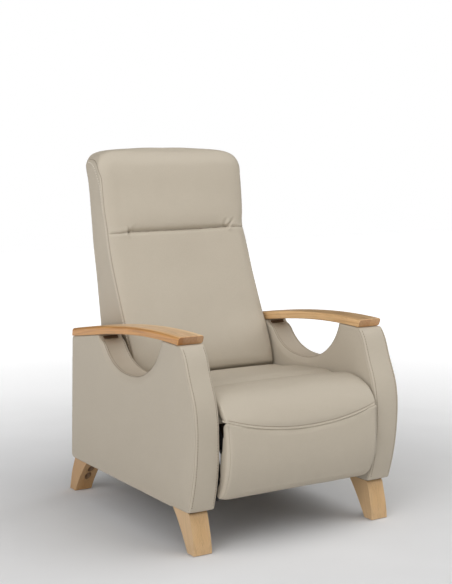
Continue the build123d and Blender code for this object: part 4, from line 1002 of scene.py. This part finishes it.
def seat_ring(x):
    u = x - SEAT_C
    t = min(1.0, abs(u) / SEAT_H)
    low = float(smile_z(x)) + 0.9
    c = top_line.copy()
    k = len(c) - 1
    while k > 0 and c[k, 1] < low and c[k, 0] < -380:
        k -= 1
    y_seam = float(np.interp(low, c[::-1][:60, 1], c[::-1][:60, 0]))
    c = np.vstack([c[:k + 1], [y_seam, low]])
    drop = 12.0 * max(0.0, (abs(u) - 242.5) / 31.0) ** 2.6
    crown = 6.0 * (1 - t ** 2.2)
    full = drop * np.interp(c[:, 0], [-408, -394, -376, -350], [0.0, 0.25, 0.67, 1.0])
    c[:, 1] += (crown - full) * smooth01((c[:, 1] - 392) / 50.0)
    fr = smooth01((-330 - c[:, 0]) / 90.0) * smooth01((c[:, 1] - low) / 22.0)
    c[:, 0] += fr * (full * 0.8 - 3.5 * (1 - t ** 2))
    main = resample(c, 200)
    back_y = -392.0
    e = float(smooth01((abs(u) - 230.0) / 10.0))
    keel = resample([(y_seam, low), (back_y, max(low - 0.75 * (back_y - y_seam), 300.0))], 30)
    rise_ = resample(spline([(y_seam, low), (-425, low + 0.8), (-407, low + 6.5), (-397, low + 17), (-391.5, low + 36)], 3.0), 30)
    under_line = ((1 - e) * keel + e * rise_)[1:]
    up = resample([tuple(under_line[-1]), (-389.0, 378.2)], 24)[1:]
    base = resample([(-389.0, 378.2), (110.5, 378.2)], 90)[1:]
    rise = resample([(110.5, 378.2), (110.5, c[0, 1])], 14)[1:-1]
    return np.vstack([main, under_line, up, base, rise])


seat = loft("seat_leather", ended_rings(seat_ring, SEAT_C - SEAT_H, SEAT_C + SEAT_H, 104, 5.0))
source = bvh(seat)
voxel(seat, 4.4)
refit(seat, source)
co = coords(seat)
no = normals(seat)
top = smooth01((no[:, 2] - 0.2) / 0.5)
# seat-shaped dip in the pad and the shallow fold before the roll
co[:, 2] -= top * 3.0 * bump(np.hypot(co[:, 0], (co[:, 1] + 60) / 0.8), 120.0)
fold = -243.0 - 0.035 * (co[:, 0] + 60) + 3.0 * np.sin(co[:, 0] / 90.0)
fade = 1 - 0.65 * smooth01((np.abs(co[:, 0]) - 200) / 60.0)
co[:, 2] -= top * fade * (3.0 * np.exp(-np.abs((co[:, 1] - fold) / 8.0) ** 1.4) - 1.4 * bump(co[:, 1] - fold + 24, 13.0))
co += no * (0.8 * wave(co, 130.0, 21) + 0.35 * wave(co, 46.0, 22))[:, None] * top[:, None]
set_coords(seat, co)
subdivide(seat, 1)
co = coords(seat)
no = normals(seat)
sm = smile_z(co[:, 0])
edge = smooth01((-co[:, 1] - 418) / 10.0)
co -= no * (edge * (0.6 * bump(co[:, 2] - (sm + 7.4), 1.6) - 0.6 * bump(co[:, 2] - (sm + 3.2), 2.4)))[:, None]
set_coords(seat, co)
smooth_shade(dress(seat, LEATHER))

tree = bvh(seat)
xx = np.linspace(SEAT_C - SEAT_H + 7, SEAT_C + SEAT_H - 5, 160)
pts, nor = lay_on(tree, np.c_[xx, np.full(len(xx), -470.0), smile_z(xx) + 7.6], hint=(0, 1, 0))
seat_stitch = sewn(stitches("seat_stitches", [(pts, nor)], length=4.8, gap=2.4, radius=0.75, hole=1.5), THREAD)
# the welt that closes the roll's lower edge, running back round both ends
wx = np.linspace(SEAT_C - SEAT_H + 5, SEAT_C + SEAT_H - 5, 150)
wp, wn = lay_on(tree, np.c_[wx, np.full(len(wx), -470.0), smile_z(wx) + 2.4], hint=(0, 1, 0))
wp[:, 2] -= 1.0
wp[:, 1] += 0.5
left_end = np.array([(SEAT_C - SEAT_H + 1.2, wp[0, 1] + 6.0, wp[0, 2] + 0.4), (SEAT_C - SEAT_H + 0.6, wp[0, 1] + 14.0, wp[0, 2] + 1.6)])
right_end = left_end.copy()
right_end[:, 0] = 2 * SEAT_C - left_end[:, 0]
right_end[:, 1:] += wp[-1, 1:] - wp[0, 1:]
welt_path = spline(np.vstack([left_end[::-1], wp[1:-1:3], right_end]), 3.0)
welt = join_parts("seat_welt", [tube_mesh(welt_path, 2.9, 12)])
dress(welt, LEATHER)

# ------------------------------------------------------------------ footrest pad
pad_front = spline([(-441, 408), (-446.5, 370), (-453.5, 306), (-449, 242), (-436, 200), (-425, 176)], 3.0)


def pad_ring(x):
    u = x - SEAT_C
    t = min(1.0, abs(u) / SEAT_H)
    high = float(smile_z(x)) + 0.7
    c = pad_front[pad_front[:, 1] < high - 4.6]
    y0 = float(np.interp(high, pad_front[::-1][:, 1], pad_front[::-1][:, 0])) + 4.2
    c = np.vstack([[(y0, high), (y0 - 2.1, high - 0.55), (y0 - 3.6, high - 2.0), (y0 - 4.15, high - 4.0)], c])
    swell = 3.0 * (1 - t ** 2.4)
    inw = 8.0 * max(0.0, (abs(u) - 252.5) / 21.0) ** 2.2
    c[:, 0] += (inw - swell) * smooth01((high - c[:, 1] - 2.0) / 16.0)
    lift = 6.0 * max(0.0, (abs(u) - 238.5) / 35.0) ** 2.0
    a = spline([tuple(c[-1]), (-413 + inw * 0.5, 160.0 + lift), (-404, 154.6 + lift), (-398.5, 154.0 + lift)], 3.0)
    line = np.vstack([c, a[1:]])
    thin = 25.0 * float(smooth01((abs(u) - 228.0) / 38.0))
    wrap = 8.0 * float(smooth01((abs(u) - 262.0) / 7.0))
    back_line = resample([(-396.6 + wrap, 156.0 + lift), (-396.6 + wrap, 188.0), (-396.6 - 0.34 * thin, 216.0), (-396.6 - 0.50 * thin, 240.0),
                          (-396.6 - 0.56 * thin, 296.0), (-396.6 - 1.02 * thin, 312.0), (-396.6 - 1.02 * thin, high - 0.75 * (-396.6 - thin - y0))], 90)
    return np.vstack([resample(line, 140), back_line, resample([tuple(back_line[-1]), (y0, high)], 24)[1:-1]])


pad = loft("footrest_leather", ended_rings(pad_ring, SEAT_C - SEAT_H - 1.3, SEAT_C + SEAT_H, 104, 4.5))
source = bvh(pad)
voxel(pad, 4.2)
refit(pad, source)
co = coords(pad)
no = normals(pad)
fw = smooth01((-no[:, 1] - 0.1) / 0.4)
co += no * ((0.9 * wave(co, 150.0, 31) + 0.3 * wave(co, 50.0, 32)) * fw)[:, None]
# the left and right edges wander a little between the seam's ends
end_w = smooth01((np.abs(co[:, 0] - SEAT_C) - 240) / 30.0)
co[:, 0] -= np.sign(co[:, 0] - SEAT_C) * end_w * (0.5 + 1.3 * np.sin(co[:, 2] / 23.0 + np.sign(co[:, 0]) * 0.9))
set_coords(pad, co)
subdivide(pad, 1)
co = coords(pad)
no = normals(pad)
fw = smooth01((-no[:, 1] - 0.0) / 0.3)
for x0 in (SEAT_C + SEAT_H - 8.0, SEAT_C - SEAT_H + 8.0):
    co -= no * (0.8 * bump(co[:, 0] - x0, 1.7) * fw)[:, None]
set_coords(pad, co)
smooth_shade(dress(pad, LEATHER))
tree = bvh(pad)
seams, runs = [], []
for s_ in (-1, 1):
    zz = np.linspace(174, 380, 60)
    pts, nor = lay_on(tree, np.c_[np.full(60, SEAT_C + s_ * (SEAT_H - 8.0)), np.full(60, -480.0), zz], hint=(0, 1, 0), reach=90)
    seams.append(seam_shade_cord(pts, nor, 0.55))
pad_seam = dress(join_parts("footrest_seam_shade_cords", seams), SOFT_SEAM)

# ------------------------------------------------------------------ back: one cover with a gathered tuck under the headrest
lumbar = [(116, 424), (131, 489), (183, 600), (226, 690), (261, 768), (300, 880)]
head = [(306, 900), (315, 940), (327, 1003), (344, 1095), (358, 1130), (376, 1151), (400, 1163)]
front_back = spline(lumbar + head, 4.0)
TOP_ARC = spline([(272, 1092), (268.5, 1112), (259, 1131), (243, 1144), (222, 1151), (150, 1158.5), (80, 1164.3), (0, 1166)], 3.0)


def tuck_z(x):
    return np.interp(x, [-272, -197, -17, 86, 190, 200, 262], [883.0, 887.5, 888.0, 889.3, 891.7, 892.5, 889.0])


def half_width(z):
    return SEAT_X - 0.8 if z <= 1092 else float(np.interp(z, TOP_ARC[:, 1], TOP_ARC[:, 0])) - 0.8


def back_section(z):
    w = half_width(z)
    yf = float(np.interp(z, front_back[:, 1], front_back[:, 0])) if z > 424 else 116.0 + max(0, 414 - z) * 0.8
    yr = rear(z) - 0.6 if z <= 1108 else float(np.interp(z, [1108, 1140, 1158, 1166], [452.8, 449, 438, 424]))
    yf = min(yf, yr - 24)
    rf = min(6.0, (yr - yf) / 2.2, w * 0.45)
    rr = min(5.0, (yr - yf) / 2.6, w * 0.3)
    p = []
    for cx, cy, r, a0 in ((w - rf, yf + rf, rf, -90), (w - rr, yr - rr, rr, 0), (-w + rr, yr - rr, rr, 90), (-w + rf, yf + rf, rf, 180)):
        for k in range(13):
            a = math.radians(a0 + 90 * k / 12)
            p.append((cx + r * math.cos(a), cy + r * math.sin(a)))
    q = resample(np.array(p + [p[0]]), 301)[:-1]
    return np.c_[q, np.full(len(q), z)]


zs = np.r_[np.linspace(403, 1090, 170), np.linspace(1093, 1150, 30), np.linspace(1151, 1165.6, 14)]
back = loft("back_leather", [back_section(z) for z in zs])
source = bvh(back)
voxel(back, 4.6)
refit(back, source)
co = coords(back)
no = normals(back)
xb, z = co[:, 0].copy(), co[:, 2].copy()
fw = smooth01((-no[:, 1] - 0.15) / 0.5)
wid = np.interp(z, np.r_[400, TOP_ARC[:, 1]], np.r_[272, TOP_ARC[:, 0]])
inb = np.clip(wid - np.abs(xb), 0, None)                 # distance in from the side seam
soft = 1 - (1 - np.clip(inb / 48.0, 0, 1)) ** 2.3
t = np.clip(np.abs(xb) / SEAT_X, 0, 1)
tz = tuck_z(xb)
dz = z - tz
head_w = smooth01((dz + 2) / 14.0)
top_fade = 1 - 0.55 * smooth01((z - 1105) / 55.0)
low_fade = smooth01((z - 405) / 60.0)
crown_l = (9.5 * soft + 3.5 * (1 - t ** 2.4)) * low_fade
crown_h = (10.5 * soft + 3.5 * (1 - t ** 2.4)) * top_fade
co[:, 1] -= fw * (crown_l * (1 - head_w) + crown_h * head_w)
# the pillow rolls under at the tuck, the lumbar part runs up to it
span = smooth01((xb + 205) / 16.0) * smooth01((203 - xb) / 18.0)
upz, dnz = np.clip(dz, 0, None), np.clip(-dz, 0, None)
tuck_in = np.where(dz >= 0, 12.5 * np.exp(-upz / 9.5), 12.5 * np.exp(-dnz / 3.2))
puff = np.where(dz >= 0, 8.0 * (1 - np.exp(-upz / 13.0)) * (1 - smooth01((upz - 40) / 130.0)), 0.0) * smooth01(inb / 110.0)
flat = 1.3 * bump(dz, 3.0) - 0.8 * bump(np.abs(dz) - 9, 6.0)
co[:, 1] += fw * (span * tuck_in - puff + (1 - span) * flat * smooth01(inb / 6.0))
# pucker folds at the tuck's ends: two at the left end, three at the right
for (x0, z0), (x1, z1), amp, wd in (((-192, 885), (-203, 914), 7.5, 3.4), ((-181, 890), (-172, 918), 2.2, 5.0), ((188, 890), (231, 929), 7.0, 3.8),
                                    ((176, 892), (192, 932), 4.2, 4.6), ((160, 893), (166, 922), 1.6, 5.0), ((-192, 884), (-222, 889), 1.8, 3.4),
                                    ((-190, 882), (-185, 862), 1.6, 4.6)):
    ab = np.array([x1 - x0, z1 - z0], float)
    ln = np.linalg.norm(ab)
    al = ((xb - x0) * ab[0] + (z - z0) * ab[1]) / ln
    ac = ((xb - x0) * ab[1] - (z - z0) * ab[0]) / ln
    fadeout = smooth01((al + 5) / 8.0) * (1 - smooth01(al / ln))
    co[:, 1] += fw * fadeout * (amp * bump(ac, wd) - 0.45 * amp * (bump(ac - 2.4 * wd, wd * 1.3) + bump(ac + 2.4 * wd, wd * 1.3)))
gather = np.sin(xb / 7.3 + 1.3 * np.sin(xb / 31.0)) * np.sin(xb / 47.0 + 0.7)
co[:, 1] += fw * span * 0.6 * gather * bump(dz - 10, 8.0)
co += no * ((1.4 * wave(co, 190.0, 41) + 0.5 * wave(co, 70.0, 42)) * fw * smooth01(inb / 30.0))[:, None]
# the lumbar part rolls under just above the seat
co[:, 1] += smooth01((-no[:, 1] + 0.2) / 0.5) * 6.5 * np.clip((443 - z) / 14.0, 0, 1.25) ** 2.4
# the sides: a shallow swell on the boxing, pinched in where the tuck's seam meets it
side = smooth01((np.abs(no[:, 0]) - 0.3) / 0.4)
depth_pos = np.clip((co[:, 1] - np.interp(z, front_back[:, 1], front_back[:, 0])) / 90.0, 0, 1)
co[:, 0] += np.sign(xb) * side * 3.2 * np.sin(np.pi * np.clip((co[:, 1] - 300) / 140.0, 0.15, 1)) * smooth01((z - 700) / 150.0)
front_near = 1 - smooth01((co[:, 1] - np.interp(z, front_back[:, 1], front_back[:, 0]) - 4) / 34.0)
pinch = np.where(xb > 0, 7.0, 3.0) * bump(z - 903, 26.0) + np.where(xb > 0, 3.0, 1.0) * bump(z - 860, 34.0) - 2.4 * bump(z - 1035, 50.0)
co[:, 0] -= np.sign(xb) * front_near * smooth01((np.abs(xb) - 180) / 90.0) * pinch
# the top corners stand up squarer and the rear edge is fuller than the plain solid's
out = np.abs(xb)
behind = smooth01((co[:, 1] - np.interp(z, front_back[:, 1], front_back[:, 0]) - 18) / 70.0)
co[:, 0] += np.sign(xb) * np.interp(z, [1058, 1082, 1104, 1150], [0.0, 2.0, 4.4, 4.4]) * smooth01((out - 110) / 130.0)
co[:, 1] += behind * np.interp(z, [420, 700, 820, 960, 1010, 1060, 1120, 1166], [3.0, 3.4, 2.4, 1.8, 2.6, 5.0, 6.5, 6.0])
co[:, 2] += np.interp(out, [0, 50, 100, 150, 240, 272], [1.0, 1.7, 2.9, 4.6, 4.6, 6.0]) * smooth01((z - 1090) / 55.0)
set_coords(back, co)
subdivide(back, 1)

tree = bvh(back)
co = coords(back)
no = normals(back)
SIDE_SEAM = [(-271, float(np.interp(q, front_back[:, 1], front_back[:, 0])) + 2.0, q) for q in np.arange(428, 1070, 16.0)]
SIDE_SEAM += [(-271, 348.5, 1086), (-270, 357, 1102), (-268, 371, 1114), (-265, 391, 1121), (-263, 420, 1125), (-262.5, 443, 1126)]
SIDE_STITCH = [(-271, float(np.interp(q, front_back[:, 1], front_back[:, 0])) + 10.5, q) for q in np.arange(428, 1052, 16.0)]
SIDE_STITCH += [(-271, 361, 1066), (-271, 371, 1088), (-270, 384, 1101), (-269, 402, 1110), (-268, 424, 1115), (-268, 446, 1117)]
seams, runs, lines = [], [], []
for s_ in (1, -1):
    for path, kind in ((SIDE_SEAM, 0), (SIDE_STITCH, 1)):
        q = spline(path, 4.0)
        q[:, 0] -= np.interp(q[:, 2], [1058, 1082, 1104, 1150], [0.0, 2.0, 4.4, 4.4])
        q[:, 2] += 5.0 * smooth01((q[:, 2] - 1090) / 55.0)
        q[:, 0] *= s_
        pts, nor = lay_even(tree, q)
        if kind:
            runs.append((pts, nor))
        else:
            lines.append(pts)
d = np.full(len(co), 1e9)
near = np.abs(co[:, 0]) > 225
d[near] = np.minimum.reduce([seg_dist(co[near], ln[::2]) for ln in lines])
co -= no * (1.4 * bump(d, 1.8) - 0.4 * bump(d - 5, 2.2))[:, None]
# rear edge seam, all round
rl = [(-(SEAT_X - 1.5), rear(q) - 2.2, q) for q in np.arange(410, 1100, 14.0)]
rl += [(-p[0] + 1.2, float(np.interp(p[1], [1092, 1112, 1140, 1158, 1166], [449, 451, 447, 436, 423])), p[1]) for p in TOP_ARC[2::5]]
rl = np.array(rl)
rear_line = spline(np.vstack([rl, rl[::-1][1:] * [-1, 1, 1]]), 5.0)
pts, nor = lay_on(tree, rear_line)
near = co[:, 1] > np.minimum(rear(co[:, 2]), 440) - 34
d = np.full(len(co), 1e9)
d[near] = seg_dist(co[near], pts[::2])
co -= no * (1.2 * bump(d, 1.8))[:, None]
# flat seam from the tuck to both edges
fw = smooth01((-no[:, 1] - 0.15) / 0.5)
span = smooth01((co[:, 0] + 200) / 8.0) * smooth01((198 - co[:, 0]) / 8.0)
co[:, 1] += fw * (1 - span) * 1.3 * bump(co[:, 2] - tuck_z(co[:, 0]), 1.7)
set_coords(back, co)
smooth_shade(dress(back, LEATHER))

tree = bvh(back)
soft_lines = []
for ln in lines:
    p_, n_ = lay_on(tree, ln)
    soft_lines.append(seam_shade_cord(p_, n_, 0.9, sink=0.3))
p_, n_ = lay_on(tree, pts)
seams.append(seam_shade_cord(p_, n_, 0.75))
q = np.linspace(-268, 268, 180)
p_, n_ = lay_on(tree, np.c_[q, np.full(len(q), 150.0), tuck_z(q)], hint=(0, 1, 0), reach=300)
seams.append(seam_shade_cord(p_, n_, np.where((q > -196) & (q < 194), 0.95 + 0.3 * np.sin(q / 19.0) * np.sin(q / 7.7 + 1), 0.65), sink=0.35))
back_seam = dress(join_parts("back_seam_shade_cords", seams), SEAM)
back_edge = dress(join_parts("back_edge_seam_shade_cords", soft_lines), EDGE_SEAM)
back_stitch = sewn(stitches("back_stitches", runs, length=6.4, gap=3.4, radius=1.35, hole=1.6), PALE_THREAD)

# rear drop panel below the cover
drop_panel = prism("back_drop_panel", [(rear(336) - 11.4, 336), (rear(336) - 1, 336), (rear(410) - 1, 410), (rear(410) - 11.4, 410)], -SEAT_X + 4, SEAT_X - 4)
voxel(drop_panel, 4.0)
relax(drop_panel, 3)
smooth_shade(dress(drop_panel, LEATHER))

# ------------------------------------------------------------------ what moves with what
for o, nodes_, body in (
    (arm_l, ("arm_upholstery_left",), "frame"),
    (arm_r, ("arm_upholstery_right",), "frame"),
    (seat, ("seat_cushion", "seat_bolster"), "seat"),
    (pad, ("footrest_pad",), "footrest"),
    (back, ("back_outer_cover", "lumbar_cushion", "head_cushion"), "back"),
):
    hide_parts(*nodes_)
    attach(o, body)
for o, body in ((stitch_l, "frame"), (stitch_r, "frame"), (seam_l, "frame"), (seam_r, "frame"), (rim_l, "frame"), (rim_r, "frame"), (seat_stitch, "seat"), (welt, "seat"),
                (pad_seam, "footrest"), (back_stitch, "back"), (back_seam, "back"), (back_edge, "back"), (drop_panel, "back")):
    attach(o, body)

# ------------------------------------------------------------------ studio
floor = new_object("floor", [(-9000, -9000, 0), (9000, -9000, 0), (9000, 9000, 0), (-9000, 9000, 0)], [[0, 1, 2, 3]])
m, nt, b = material("studio_floor")
tc = nt.nodes.new("ShaderNodeTexCoord").outputs["Object"]
n1 = noise_tex(nt, tc, 3.0, 2.0, 0.5)
nt.links.new(ramp(nt, n1.outputs["Fac"], [(0.3, (0.735, 0.735, 0.735)), (0.7, (0.76, 0.76, 0.76))]), b.inputs["Base Color"])
b.inputs["Roughness"].default_value = 0.9
b.inputs["Specular IOR Level"].default_value = 0.1
# painted light: the floor glows more away from the chair until it is as white as the background, so it stays greyer
# near the chair
reach = nt.nodes.new("ShaderNodeVectorMath")
reach.operation = "LENGTH"
nt.links.new(tc, reach.inputs[0])
glow = ramp(nt, math_node(nt, "DIVIDE", reach.outputs["Value"], 6.0), [(0.08, (0, 0, 0)), (0.18, (0.08, 0.08, 0.08)), (0.34, (0.33, 0.33, 0.33)), (0.62, (0.60, 0.60, 0.60))])
b.inputs["Emission Color"].default_value = (1.0, 1.0, 1.0, 1.0)
nt.links.new(glow, b.inputs["Emission Strength"])
dress(floor, m)

world = bpy.data.worlds.new("studio")
scene.world = world
world.use_nodes = True
wt = world.node_tree
dim = wt.nodes["Background"]
dim.inputs[0].default_value = (1.0, 1.0, 1.0, 1.0)
dim.inputs[1].default_value = 0.05
white = wt.nodes.new("ShaderNodeBackground")
white.inputs[1].default_value = 1.0
white.inputs[0].default_value = (1.0, 1.0, 1.0, 1.0)
pick = wt.nodes.new("ShaderNodeMixShader")
wt.links.new(wt.nodes.new("ShaderNodeLightPath").outputs["Is Camera Ray"], pick.inputs[0])
wt.links.new(dim.outputs[0], pick.inputs[1])
wt.links.new(white.outputs[0], pick.inputs[2])
wt.links.new(pick.outputs[0], wt.nodes["World Output"].inputs[0])


def sun(name, direction, strength, angle, color=(1, 1, 1)):
    d = bpy.data.lights.new(name, "SUN")
    d.energy = strength
    d.angle = math.radians(angle)
    d.color = color
    o = bpy.data.objects.new(name, d)
    scene.collection.objects.link(o)
    o.location = Vector(direction) * 5
    o.rotation_euler = (-Vector(direction)).to_track_quat("-Z", "Y").to_euler()
    return o


sun("soft_side", (-0.95, -0.18, 0.31), 0.94, 60, (0.99, 0.985, 1.02))
sun("soft_key", (-0.60, -0.65, 0.45), 1.34, 60)
sun("soft_top", (0.55, -0.25, 0.80), 1.50, 60)
overhead = bpy.data.lights.new("overhead", "AREA")
overhead.shape = "RECTANGLE"
overhead.size, overhead.size_y = 1.6, 1.2
overhead.energy = 10.3
lamp = bpy.data.objects.new("overhead", overhead)
scene.collection.objects.link(lamp)
lamp.location = (-0.5, -0.7, 2.5)
lamp.rotation_euler = (-Vector((-0.5, -0.5, 1.9))).to_track_quat("-Z", "Y").to_euler()
scene.view_settings.view_transform = "Standard"
